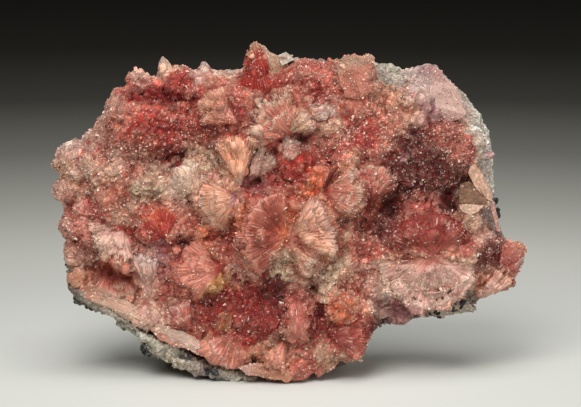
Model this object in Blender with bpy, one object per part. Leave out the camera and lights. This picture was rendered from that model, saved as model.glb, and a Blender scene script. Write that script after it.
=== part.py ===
"""Inesite specimen: one crust of radiating inesite crystals, grown on a piece of pale vein rock.

The crust is a single solid, because its balls, fans and points grew into each other. The vein
rock behind and below it is the other piece. Everything is drawn on a front-view sheet of small
squares, counted right and down from the sheet's top left corner, with a depth in millimetres
that grows away from the viewer. place() turns a square and a depth into a point.
"""

import math

import bmesh
import bpy
import numpy as np
from mathutils import Matrix, Vector
from mathutils.bvhtree import BVHTree

MM = 0.001
SHEET_MM = 0.232  # the side of one sheet square, which makes the specimen 110 mm wide
SHEET_MIDDLE = 289  # the column over the middle of the specimen
SHEET_FLOOR = 384  # the row where the front foot meets the ground
EYE_TILT = math.radians(10)  # the sheet is seen from this far above the horizon
FRONT_FOOT = -16.0  # the depth of the front foot

SLAB_FRONT = -3.0  # the floor of the hollows between the balls and fans
CORE_FRONT = -9.0  # the same in the middle of the specimen, where the crust is thicker
CRUST_BACK = 2.0  # the depth where the crust ends and the rock begins
ROCK_BACK = 21.0
ROCK_SHELF = -11.0  # the rock comes at least this far forward below the crust's lower edge
PARTING_GAP = 0.35  # between the two solids
CRUST_CLEARANCE = 0.5  # the crust stays this far above the ground

CRUST_VOXEL = 0.4
ROCK_VOXEL = 0.7
CRUST_TRIANGLES = 6700
ROCK_TRIANGLES = 1900
SMALL_CRYSTALS = 110
NUBS = 85  # small balls that fill the flat ground between the named ones

# Crust balls: column, row, radius in squares, and the depth of the ball's nearest point.
BALLS = {
    "top_left_rim": (138, 81, 12, -3),
    "top_left_corner": (122, 96, 10, -4),
    "hidden_lobe": (180, 87, 20, -6),
    "upper_left_dome": (140, 124, 36, -14),
    "upper_left_shoulder": (165, 132, 26, -13),
    "upper_left_flank": (116, 140, 18, -9),
    "brown_dome": (205, 128, 21, -12),
    "pale_top_edge": (216, 84, 14, -2),
    "red_strip": (237, 98, 14, -8),
    "peak_foot": (258, 82, 17, -8),
    "pale_top": (276, 72, 16, -3),
    "top_mass": (305, 83, 23, -9),
    "top_mass_right": (334, 82, 20, -8),
    "salmon_dome": (355, 106, 20, -13),
    "orange_shelf": (388, 101, 16, -9),
    "sparkling_dome": (372, 131, 27, -13),
    "beige_saddle": (410, 114, 18, -8),
    "lilac_hill": (426, 98, 24, -4),
    "maroon_dome": (440, 152, 37, -11),
    "maroon_edge": (468, 142, 18, -7),
    "plum_ridge": (418, 128, 15, -8),
    "left_shoulder": (78, 162, 22, -6),
    "left_knob": (55, 165, 6, -3),
    "left_lobe": (64, 191, 12, -4),
    "left_low_lobe": (76, 227, 17, -7),
    "left_edge_low": (74, 250, 12, -5),
    "speckled_slope": (106, 166, 25, -10),
    "peach_dome": (110, 196, 23, -12),
    "mixed_saddle": (150, 179, 22, -10),
    "fluffy_tuft": (186, 181, 20, -14),
    "pale_ball": (218, 203, 26, -19),
    "green_pocket": (208, 164, 19, -11),
    "crimson_dome": (293, 165, 18, -16),
    "orange_blades": (315, 183, 19, -17),
    "centre_mass": (262, 214, 32, -18),
    "centre_low": (250, 252, 15, -18),
    "pink_right": (375, 179, 20, -14),
    "salmon_nubs": (346, 160, 15, -15),
    "right_salmon": (338, 200, 25, -16),
    "maroon_low": (405, 172, 17, -7),
    "orange_ball": (155, 222, 23, -15),
    "coral_ball": (192, 224, 19, -15),
    "speckled_low": (122, 214, 17, -11),
    "speckled_left": (92, 246, 15, -9),
    "apricot_dome": (200, 271, 32, -18),
    "brown_gravel": (238, 256, 16, -14),
    "green_middle": (280, 260, 14, -15),
    "green_right": (330, 271, 19, -15),
    "pink_gravel": (366, 252, 20, -12),
    "red_mound": (424, 226, 31, -13),
    "red_mound_left": (398, 236, 20, -12),
    "red_mound_right": (446, 236, 17, -12),
    "grey_corner": (476, 228, 15, -5),
    "right_tip": (508, 257, 15, -3),
    "right_tip_low": (494, 268, 15, -6),
    "cream_shelf": (120, 300, 12, -8),
    "left_base": (84, 280, 15, -6),
    "pod": (148, 315, 16, -12),
    "red_pod": (186, 314, 21, -14),
    "great_dome": (243, 320, 38, -18),
    "great_dome_foot": (228, 350, 15, -15),
    "tan_foot": (272, 358, 17, -15),
    "red_column": (296, 328, 17, -19),
    "foot": (298, 367, 15, -17),
    "foot_right": (322, 358, 16, -15),
    "foot_left": (272, 374, 7, -15),
    "column_head": (300, 298, 15, -16),
    "brown_middle": (318, 246, 17, -15),
    "wing_gravel": (388, 262, 15, -9),
    "wing_low": (384, 286, 13, -8),
    "east_shoulder": (470, 260, 17, -8),
    "east_slope": (488, 244, 14, -5),
    "orange_knob": (342, 308, 18, -17),
    "lower_right_dome": (346, 338, 24, -16),
    "beige_edge": (363, 312, 12, -13),
    "small_pale_ball": (329, 291, 8, -16),
    "lilac_pocket": (386, 303, 12, -6),
    "mauve_slope": (402, 313, 13, -5),
}

# Crust fans: column and row of the centre, radius, first and last direction in degrees
# anticlockwise from the right, and the depths of the centre and of the rim.
FANS = {
    "salmon_tuft": (231, 124, 34, 98, 160, -11, -13),
    "white_tuft": (201, 194, 30, 98, 168, -12, -15),
    "mini_fan": (284, 152, 18, 20, 100, -13, -14),
    "upper_fan": (292, 136, 45, 92, 198, -14, -17),
    "upper_side_fan": (286, 134, 29, 6, 54, -15, -17),
    "small_fan": (240, 126, 40, 122, 176, -11, -14),
    "orange_fan": (240, 187, 50, 72, 118, -15, -17),
    "centre_fan_left": (287, 237, 50, 92, 232, -18, -20),
    "centre_fan_right": (288, 238, 46, -22, 58, -18, -20),
    "pale_wedge": (289, 242, 38, -66, -32, -17, -19),
    "right_fan": (322, 192, 40, -42, 36, -15, -18),
    "great_pale_fan": (430, 263, 48, 184, 352, -13, -8),
    "cream_crescent": (132, 238, 33, 180, 262, -11, -14),
    "great_dome_skirt": (238, 318, 50, 212, 286, -15, -14),
    "foot_fan": (292, 340, 36, 212, 256, -16, -17),
    "tip_fan": (474, 304, 51, 27, 56, -5, -5),
    "left_blades": (98, 216, 26, 120, 175, -8, -8),
    "middle_blades": (150, 298, 46, 78, 112, -9, -12),
}

# Single points: base column and row, tip column and row, half width in squares, and depth.
POINTS = {
    "left_spire": (168, 84, 161, 57, 8, -1.0),
    "lilac_spire": (204, 88, 204, 61, 9, 0.0),
    "peak": (258, 96, 256, 40, 17, -5.0),
    "white_block": (284, 76, 284, 52, 11, 0.0),
    "tan_corner": (362, 98, 368, 54, 9, -6.0),
    "lilac_peak": (428, 112, 430, 66, 22, -1.0),
    "east_bud": (480, 157, 498, 156, 4, -3.0),
    "tan_blade": (488, 206, 464, 163, 7, -5.0),
    "right_horn": (496, 262, 527, 253, 9, -2.0),
}

TAN_BLOCK = [(337, 68), (352, 64), (373, 62), (374, 76), (374, 104), (337, 104)]
TAN_BLOCK_FRONT = -9.5

# Hollows that stay open down to the slab: column, row and radius in squares.
HOLLOWS = [
    (150, 94, 20), (175, 158, 16), (257, 184, 12), (296, 138, 12), (394, 205, 18),
    (450, 202, 13), (114, 276, 20), (330, 316, 8), (312, 290, 7), (284, 342, 8),
]

CRUST_OUTLINE = [
    (60, 162), (74, 146), (94, 128), (118, 98), (136, 82), (166, 80), (205, 80), (240, 76),
    (258, 62), (284, 60), (302, 66), (344, 64), (368, 66), (374, 88), (404, 92), (440, 92),
    (468, 126), (478, 156), (480, 190), (484, 226), (516, 252), (508, 270), (484, 288),
    (474, 298), (440, 300), (404, 312), (378, 318), (372, 340), (350, 352), (320, 366),
    (296, 376), (262, 370), (200, 352), (150, 330), (118, 308), (76, 294), (68, 262),
    (66, 220), (60, 196),
]

CORE_OUTLINE = [
    (140, 176), (176, 168), (196, 108), (232, 90), (300, 80), (358, 92), (380, 132), (378, 200),
    (372, 262), (371, 322), (340, 346), (300, 352), (210, 338), (172, 312), (146, 262),
    (122, 206),
]

ROCK_OUTLINE = [
    (62, 176), (74, 152), (100, 126), (122, 102), (150, 84), (188, 76), (240, 74), (262, 66),
    (292, 62), (344, 66), (376, 69), (392, 68), (406, 76), (426, 68), (437, 69), (452, 87),
    (467, 99), (482, 121), (492, 138), (495, 172), (497, 202), (501, 232), (513, 252),
    (511, 274), (496, 296), (481, 304), (474, 315), (456, 320), (418, 323), (380, 332),
    (360, 348), (330, 384), (228, 384), (170, 370), (160, 361), (141, 357),
    (137, 338), (122, 323), (98, 316), (76, 307), (67, 292), (66, 240),
]
LOWER_BAND = [
    (60, 262), (90, 280), (150, 330), (230, 346), (300, 350), (310, 380), (296, 386),
    (228, 386), (196, 374), (168, 366), (145, 352), (128, 324), (98, 314), (78, 304), (68, 290),
]

# Rock lumps: column, row, radius in squares, the depth of the lump's middle, and how deep it
# is for its width.
ROCK_LUMPS = {
    "left_heel": (84, 298, 12, -2, 1),
    "left_ledge": (106, 306, 12, -3, 1),
    "ledge_end": (128, 322, 10, -5, 1),
    "black_knob": (146, 350, 7, -8, 1),
    "under_shelf": (160, 348, 13, -10, 1.1),
    "under_shelf_low": (178, 362, 10, -11, 1.1),
    "foot_left": (196, 366, 12, -11, 1.2),
    "foot_left_low": (214, 374, 9, -12, 1.1),
    "foot_middle": (232, 375, 11, -12, 1.2),
    "foot_middle_right": (252, 377, 9, -13, 1.1),
    "foot_right": (280, 376, 11, -9, 1),
    "east_patch": (456, 306, 15, -2, 1),
    "east_patch_left": (438, 310, 12, -2, 1),
    "east_patch_right": (472, 306, 10, -1, 1),
    "top_rim": (390, 80, 13, 3, 1),
    "north_east_rim": (450, 98, 15, 3, 1),
    "east_rim": (474, 122, 14, 3, 1),
    "east_wall": (486, 150, 10, 3, 1),
    "east_wall_low": (489, 186, 9, 3, 1),
    "black_chips": (498, 212, 6, 3, 1),
    "back_top_left": (170, 140, 58, 7, 0.85),
    "back_top": (268, 128, 60, 8, 0.75),
    "back_top_right": (372, 128, 54, 7, 0.90),
    "back_right": (440, 168, 46, 8, 0.80),
    "back_left": (116, 210, 46, 7, 0.90),
    "back_middle_left": (200, 232, 68, 8, 0.78),
    "back_middle": (300, 220, 66, 9, 0.72),
    "back_middle_right": (392, 236, 62, 8, 0.76),
    "back_east": (462, 250, 40, 6, 0.95),
    "back_low_left": (146, 290, 50, 6, 0.95),
    "back_low": (240, 312, 62, 7, 0.80),
    "back_low_right": (330, 306, 52, 8, 0.80),
    "back_foot": (262, 352, 44, 8, 1.05),
    "back_foot_right": (312, 356, 41, 9, 1.0),
}

# The line on the sheet below which rock, not crust, comes forward: column and row.
LIP = [
    (0, 282), (40, 286), (70, 288), (95, 300), (118, 314), (136, 330), (144, 338), (178, 343),
    (190, 360), (240, 369), (262, 377), (285, 386), (385, 386), (420, 322), (436, 304),
    (450, 299), (484, 303), (600, 300),
]
LIP_DEPTHS = [(300, -20.0), (400, -9.0)]  # how far forward the lip may go: column and depth
LIP_BLEND = 9.0  # squares over which the parting surface turns forward


def place(column, row, depth):
    """The point, in millimetres, that shows at this square of the sheet and has this depth."""
    up = (SHEET_FLOOR - row) * SHEET_MM
    height = (up - (depth - FRONT_FOOT) * math.sin(EYE_TILT)) / math.cos(EYE_TILT)
    return Vector(((column - SHEET_MIDDLE) * SHEET_MM, depth, height))


def add_shell(bm, rings):
    """Adds a closed shell through rings of points, all of one length, with a cap at each end."""
    loops = [[bm.verts.new(point) for point in ring] for ring in rings]
    for near, far in zip(loops, loops[1:]):
        for i in range(len(near)):
            j = (i + 1) % len(near)
            bm.faces.new((near[i], near[j], far[j], far[i]))
    bm.faces.new(list(reversed(loops[0])))
    bm.faces.new(loops[-1])


def add_slab(bm, outline, front, back, bevel):
    """Adds a slab of the outline's shape whose front and back edges lean in by bevel."""
    middle = Vector((
        sum(p[0] for p in outline) / len(outline),
        sum(p[1] for p in outline) / len(outline),
    ))
    reach = sum((Vector(p) - middle).length for p in outline) / len(outline) * SHEET_MM
    inner = 1 - bevel / reach

    def ring(share, depth):
        points = [middle + (Vector(p) - middle) * share for p in outline]
        return [place(p.x, p.y, front) + Vector((0, depth - front, 0)) for p in points]

    add_shell(bm, [
        ring(inner, front),
        ring(1, front + bevel),
        ring(1, back - bevel),
        ring(inner, back),
    ])


def add_ball(bm, rng, column, row, radius, front):
    """Adds a ball of crystals: a sphere with flat facets, its back drawn out into the slab."""
    size = radius * SHEET_MM
    centre = place(column, row, front + size)
    reach = max(size, SLAB_FRONT + 2 - centre.y)
    made = bmesh.ops.create_icosphere(bm, subdivisions=3 if radius > 26 else 2, radius=1)
    for vert in made["verts"]:
        out = vert.co * (1 + rng.uniform(-0.07, 0.07))
        back = max(0.0, out.y)
        spread = size * (1 + 0.35 * back)
        vert.co = centre + Vector((out.x * spread, out.y * size, out.z * spread))
        vert.co.y += back * (reach - size)


def add_blade(bm, centre, directions, length, depths, tilt):
    """Adds one blade of a fan: a wedge from near the fan's centre, with one edge raised.

    depths holds the blade's depth at its root, at its waist and at its tip.
    """
    rings = []
    for share, depth in zip((0.04, 0.55, 1.0), depths):
        lean = tilt * share
        ring = []
        for angle, offset in ((directions[0], lean), (directions[1], -lean)):
            long = length * share * (1.06 if offset < 0 and share == 1.0 else 1.0)
            ring.append((centre[0] + math.cos(angle) * long,
                         centre[1] - math.sin(angle) * long, depth + offset))
        behind = depths[0] + 0.45 * length * SHEET_MM * (1.1 - share)
        ring += [(ring[1][0], ring[1][1], behind + 1.5), (ring[0][0], ring[0][1], behind + 1.5)]
        rings.append([place(*corner) for corner in ring])
    add_shell(bm, rings)


def add_fan(bm, rng, column, row, radius, first, last, centre_depth, rim_depth):
    """Adds a fan: blades side by side over a bulging surface, on a stem that roots the fan."""
    count = max(4, round((last - first) / 11))
    cuts = [math.radians(first + (last - first) * i / count) for i in range(count + 1)]
    bulge = 0.12 * radius * SHEET_MM
    for start, end in zip(cuts, cuts[1:]):
        waist = (centre_depth + rim_depth) / 2 - bulge
        depths = (centre_depth, waist, rim_depth + rng.uniform(-0.4, 0.4))
        length = radius * rng.uniform(0.92, 1.06)
        add_blade(bm, (column, row), (start - 0.02, end + 0.02), length, depths, 0.55)
    middle = math.radians((first + last) / 2)
    stem = place(column + 0.3 * radius * math.cos(middle),
                 row - 0.3 * radius * math.sin(middle), centre_depth + 1.5)
    base = Vector((stem.x, SLAB_FRONT + 2, stem.z))
    add_shell(bm, [
        [point + Vector((math.cos(turn), 0, math.sin(turn))) * (size * radius * SHEET_MM)
         for turn in (math.tau * k / 6 for k in range(6))]
        for point, size in ((base, 0.6), (stem, 0.32))
    ])


def add_crystal(bm, base, tip, size, rings=((0.0, 1.0), (0.6, 0.8), (0.97, 0.14)), sides=5):
    """Adds one crystal: a flat-sided prism from base to tip that ends in a blunt point."""
    axis = (tip - base).normalized()
    side = axis.orthogonal().normalized()
    other = axis.cross(side)
    add_shell(bm, [
        [base.lerp(tip, along)
         + side * (size * width * math.cos(turn)) + other * (size * width * math.sin(turn))
         for turn in (math.tau * k / sides for k in range(sides))]
        for along, width in rings
    ])


def add_point(bm, column, row, tip_column, tip_row, half_width, depth):
    """Adds a large crystal that lies in the plane of the sheet."""
    add_crystal(bm, place(column, row, depth), place(tip_column, tip_row, depth),
                half_width * SHEET_MM)


def front_spots(bm, rng, spacing):
    """Yields random spots on the front of the shapes made so far, this many squares apart.

    Each comes as its column and row, the point, and the direction that the surface faces.
    """
    surface = BVHTree.FromBMesh(bm)
    low, high = np.min(CRUST_OUTLINE, axis=0), np.max(CRUST_OUTLINE, axis=0)
    taken = []
    for column, row in rng.uniform(low, high, (4000, 2)):
        ray = place(column, row, 0) - place(column, row, -1)
        found, normal, _, _ = surface.ray_cast(place(column, row, -60), ray)
        if found is None or found.y > SLAB_FRONT + 0.5:
            continue
        if all(math.dist((column, row), spot) > spacing for spot in taken):
            taken.append((column, row))
            yield column, row, found, normal if normal.y < 0 else -normal


def add_nubs(bm, rng, count):
    """Adds small balls on the flat ground between the named ones, but leaves the hollows."""
    for column, row, found, normal in front_spots(bm, rng, 11):
        hollow = any(math.dist((column, row), spot[:2]) < spot[2] for spot in HOLLOWS)
        if normal.y > -0.9 or found.y < CORE_FRONT - 0.5 or hollow:
            continue
        add_ball(bm, rng, column, row, rng.uniform(8, 13), found.y - rng.uniform(1.5, 4.5))
        count -= 1
        if not count:
            return


def add_small_crystals(bm, rng, count):
    """Adds short crystals that stand on the front of the shapes made so far."""
    for _, _, found, normal in front_spots(bm, rng, 5):
        lean = Vector(rng.normal(scale=0.25, size=3))
        length, size = rng.uniform(1.6, 3.0), rng.uniform(0.8, 1.2)
        add_crystal(bm, found - normal, found + (normal + lean) * length, size,
                    ((0.0, 1.0), (0.75, 0.85), (1.0, 0.3)), 4)
        count -= 1
        if not count:
            return


def add_rock_lump(bm, rng, column, row, radius, depth, deep):
    """Adds a broken lump of rock: the flat-faced hull of points scattered on a sphere."""
    centre = place(column, row, depth)
    size = radius * SHEET_MM
    verts = []
    for _ in range(18 if radius < 30 else 34):
        out = Vector(rng.normal(size=3)).normalized() * size
        verts.append(bm.verts.new(centre + Vector((out.x, out.y * deep, out.z))))
    made = bmesh.ops.convex_hull(bm, input=verts)
    bmesh.ops.delete(bm, geom=made["geom_interior"], context="VERTS")


def new_object(name, bm):
    """Makes an object in metres from shapes drawn in millimetres, with its faces outwards."""
    bmesh.ops.recalc_face_normals(bm, faces=bm.faces)
    bmesh.ops.scale(bm, vec=(MM, MM, MM), verts=bm.verts)
    mesh = bpy.data.meshes.new(name)
    bm.to_mesh(mesh)
    bm.free()
    obj = bpy.data.objects.new(name, mesh)
    bpy.context.scene.collection.objects.link(obj)
    return obj


def along(line, columns):
    """The value that a line of (column, value) pairs has at each of these columns."""
    return np.interp(columns, [p[0] for p in line], [p[1] for p in line])


def parting_cutter(name, gap, far):
    """A hidden block with one face on the parting surface and one at far.

    The parting surface waves gently behind the crust and turns forward below the lip line.
    gap moves it back and down.
    """
    edge = LIP_BLEND / 2
    below = np.concatenate([np.arange(-340, -10, 24), [-edge, edge, 40, 90, 140]])
    columns, below = np.meshgrid(np.arange(16, 571, 22), below)
    rows = along(LIP, columns) + below
    depths = CRUST_BACK + 0.7 * np.sin(columns / 17.0) * np.cos(rows / 23.0)
    depths = np.where(below > 0, along(LIP_DEPTHS, columns), depths)
    bm = bmesh.new()

    def grid(values):
        return [
            [bm.verts.new(place(c, r, FRONT_FOOT) + Vector((0, d - FRONT_FOOT + gap, -gap)))
             for c, r, d in zip(*line)]
            for line in zip(columns, rows, values)
        ]

    face, end = grid(depths), grid(np.full(depths.shape, far))
    tall, wide = depths.shape
    for i in range(tall - 1):
        for j in range(wide - 1):
            for sheet in (face, end):
                corner, opposite = sheet[i][j], sheet[i + 1][j + 1]
                bm.faces.new((corner, sheet[i][j + 1], opposite))
                bm.faces.new((corner, opposite, sheet[i + 1][j]))
    border = (
        [(0, j) for j in range(wide)]
        + [(i, wide - 1) for i in range(1, tall)]
        + [(tall - 1, j) for j in range(wide - 2, -1, -1)]
        + [(i, 0) for i in range(tall - 2, 0, -1)]
    )
    for (i, j), (k, l) in zip(border, border[1:] + border[:1]):
        bm.faces.new((face[i][j], face[k][l], end[k][l], end[i][j]))
    return hide(new_object(name, bm))


def ground_cutter(name, top):
    """A hidden block that fills everything below this height."""
    bm = bmesh.new()
    bmesh.ops.create_cube(bm, size=1)
    bmesh.ops.scale(bm, vec=(200, 120, 40), verts=bm.verts)
    bmesh.ops.translate(bm, vec=(0, 0, top - 20), verts=bm.verts)
    return hide(new_object(name, bm))


def hide(obj):
    """Marks a cutter, which is no part of the specimen."""
    obj.hide_render = True
    obj.display_type = "WIRE"
    return obj


def freeze(obj):
    """Replaces an object's mesh by what its modifiers make of it."""
    graph = bpy.context.evaluated_depsgraph_get()
    mesh = bpy.data.meshes.new_from_object(obj.evaluated_get(graph))
    obj.modifiers.clear()
    obj.data = mesh


def fuse(obj, voxel, triangles):
    """Grows the overlapping shapes of an object into one skin, then thins it to flat facets."""
    remesh = obj.modifiers.new("grown_together", "REMESH")
    remesh.mode = "VOXEL"
    remesh.voxel_size = voxel * MM
    freeze(obj)
    thin = obj.modifiers.new("facets", "DECIMATE")
    thin.ratio = triangles / (2 * len(obj.data.polygons))
    thin.use_collapse_triangulate = True
    freeze(obj)


def cut(obj, *cutters):
    """Takes the cutters out of an object, and any crumb that the cuts leave loose."""
    for cutter in cutters:
        modifier = obj.modifiers.new(cutter.name, "BOOLEAN")
        modifier.operation = "DIFFERENCE"
        modifier.solver = "EXACT"
        modifier.object = cutter
        freeze(obj)
    drop_crumbs(obj)


def drop_crumbs(obj):
    """Keeps only the largest connected piece of an object's mesh."""
    bm = bmesh.new()
    bm.from_mesh(obj.data)
    bmesh.ops.remove_doubles(bm, verts=bm.verts, dist=0.00002)
    bmesh.ops.dissolve_degenerate(bm, edges=bm.edges, dist=0.00002)
    waiting = set(bm.verts)
    pieces = []
    while waiting:
        stack = [waiting.pop()]
        piece = set(stack)
        while stack:
            for edge in stack.pop().link_edges:
                for vert in edge.verts:
                    if vert not in piece:
                        piece.add(vert)
                        stack.append(vert)
        waiting -= piece
        pieces.append(piece)
    largest = max(pieces, key=len)
    bmesh.ops.delete(bm, geom=[v for v in bm.verts if v not in largest], context="VERTS")
    bmesh.ops.triangulate(bm, faces=bm.faces)
    bm.to_mesh(obj.data)
    bm.free()


def centre_on_ground(objects):
    """Moves the meshes so that the ground is at 0 and the box around them is centred."""
    corners = np.array([vert.co for obj in objects for vert in obj.data.vertices])
    low, high = corners.min(axis=0), corners.max(axis=0)
    shift = Vector((-(low[0] + high[0]) / 2, -(low[1] + high[1]) / 2, -low[2]))
    for obj in objects:
        obj.data.transform(Matrix.Translation(shift))


def finish(obj, colour, roughness):
    """Gives an object its own plain material."""
    material = bpy.data.materials.new(obj.name)
    material.use_nodes = True
    shader = material.node_tree.nodes["Principled BSDF"]
    shader.inputs["Base Color"].default_value = (*colour, 1)
    shader.inputs["Roughness"].default_value = roughness
    shader.inputs["Metallic"].default_value = 0.0
    obj.data.materials.clear()
    obj.data.materials.append(material)


def inesite_crust():
    """The crust: a slab that the balls, fans and points stand on, all grown together."""
    rng = np.random.default_rng(7)
    bm = bmesh.new()
    add_slab(bm, CRUST_OUTLINE, SLAB_FRONT, CRUST_BACK + 4, 3.0)
    add_slab(bm, CORE_OUTLINE, CORE_FRONT, CRUST_BACK + 4, 5.0)
    add_slab(bm, TAN_BLOCK, TAN_BLOCK_FRONT, CRUST_BACK, 1.0)
    for ball in BALLS.values():
        add_ball(bm, rng, *ball)
    for fan in FANS.values():
        add_fan(bm, rng, *fan)
    add_nubs(bm, rng, NUBS)
    for point in POINTS.values():
        add_point(bm, *point)
    add_small_crystals(bm, rng, SMALL_CRYSTALS)
    crust = new_object("inesite_crust", bm)
    fuse(crust, CRUST_VOXEL, CRUST_TRIANGLES)
    return crust


def matrix_rock():
    """The rock: a slab behind the crust with broken lumps on its back and along its edges."""
    rng = np.random.default_rng(11)
    bm = bmesh.new()
    add_slab(bm, ROCK_OUTLINE, -1.0, ROCK_BACK - 8, 5.0)
    add_slab(bm, LOWER_BAND, ROCK_SHELF, 10.0, 2.5)
    for lump in ROCK_LUMPS.values():
        add_rock_lump(bm, rng, *lump)
    rock = new_object("matrix_rock", bm)
    fuse(rock, ROCK_VOXEL, ROCK_TRIANGLES)
    return rock


def main():
    for obj in list(bpy.data.objects):
        bpy.data.objects.remove(obj)
    crust, rock = inesite_crust(), matrix_rock()
    behind = parting_cutter("behind_parting", 0.0, 60.0)
    ahead = parting_cutter("ahead_of_parting", PARTING_GAP, -60.0)
    cut(crust, behind, ground_cutter("below_crust", CRUST_CLEARANCE))
    cut(rock, ahead, ground_cutter("below_rock", 0.0))
    centre_on_ground([crust, rock])
    finish(crust, (0.47, 0.13, 0.09), 0.45)
    finish(rock, (0.42, 0.40, 0.36), 0.7)


main()
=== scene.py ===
"""Looks of the inesite specimen: crystals, rock and studio, laid out as an add-on.

The named features are drawn on the same front-view sheet as the solids: columns count to the
right and rows count down in squares of SHEET metres, and depths are millimetres away from the
viewer. place() turns sheet positions into points and sheet_of() turns points back.
"""

import math

import bmesh
import bpy
import numpy as np
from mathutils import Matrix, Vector
from mathutils.bvhtree import BVHTree


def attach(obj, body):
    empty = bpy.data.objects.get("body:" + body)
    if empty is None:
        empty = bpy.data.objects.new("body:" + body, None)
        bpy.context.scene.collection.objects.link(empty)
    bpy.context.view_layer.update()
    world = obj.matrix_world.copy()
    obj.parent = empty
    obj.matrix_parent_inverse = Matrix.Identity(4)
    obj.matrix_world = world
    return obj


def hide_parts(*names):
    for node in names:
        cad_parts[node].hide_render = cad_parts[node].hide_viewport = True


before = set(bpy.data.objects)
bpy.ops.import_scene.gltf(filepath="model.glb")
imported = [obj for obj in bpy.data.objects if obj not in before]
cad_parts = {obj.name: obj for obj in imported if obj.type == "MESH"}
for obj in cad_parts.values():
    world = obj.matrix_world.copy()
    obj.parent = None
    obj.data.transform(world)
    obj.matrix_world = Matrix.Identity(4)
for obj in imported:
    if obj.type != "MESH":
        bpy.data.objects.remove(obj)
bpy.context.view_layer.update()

bl_info = {
    "name": "Inesite specimen",
    "version": (1, 0, 0),
    "blender": (4, 5, 0),
    "location": "View3D > Sidebar > Inesite",
    "description": "Builds the crystals, the rock and the studio of an inesite specimen",
    "category": "Object",
}

MM = 0.001
SHEET = 0.000232
MIDDLE, FLOOR_ROW = 289, 384
TILT = math.radians(10)
FRONT_FOOT = -16 * MM
SHIFT = np.array([0.0004, 0.0019, 0.0])
SIGHT = np.array([0.0, math.cos(TILT), -math.sin(TILT)])
SHEET_COLUMNS = 581
SHEET_EDGE = 30  # the first column and row that the relief covers
CRUST_CELL, ROCK_CELL, COARSE_CELL = 0.45 * MM, 0.66 * MM, 1.2 * MM
LOWEST = 0.0004  # nothing of the crust comes nearer to the floor, in metres
ACROSS, ALONG = 1.7, 0.25  # the fibre pattern's units per millimetre across and along a fibre
CRUST_TONE = np.array([0.96, 0.885, 0.825])
HOLLOW_SHADE = np.array([0.8, 0.38, 0.36])
# The palest grain ends: partly pale crystal ends, partly painted glints.
PALE_GLINT_END = np.array([0.95, 0.72, 0.6])

# Colours as screen values from 0 to 255.
PALETTE = {
    "ruby": (138, 34, 29),
    # "garnet" and "dark" serve only as painted shade in recesses.
    "garnet": (126, 18, 12),
    "rust": (144, 60, 49),
    "red": (172, 56, 46),
    "brick": (162, 78, 62),
    "rose": (188, 100, 86),
    "salmon": (202, 124, 104),
    "orange": (206, 108, 72),
    "peach": (208, 146, 118),
    # "apricot" is lighter than the orange fan's own colour: painted light against the shade of the
    # hollow the fan lies in.
    "apricot": (244, 172, 138),
    "cream": (216, 178, 154),
    "blush": (214, 166, 150),
    "frost": (220, 188, 170),
    "lilac": (210, 182, 173),
    "mauve": (180, 128, 132),
    "maroon": (104, 36, 34),
    "dark": (92, 24, 20),
    "beige": (198, 156, 132),
    "tan": (194, 150, 120),
    "brown": (124, 90, 68),
    "sage": (192, 180, 150),
    "yellow": (210, 154, 92),
    "white": (176, 164, 148),
    "grey": (126, 114, 100),
    "slate": (92, 86, 80),
    "bone": (176, 168, 150),
    "chalk": (226, 222, 208),
    "pearl": (230, 204, 176),
    "haze": (158, 138, 130),
}

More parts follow.
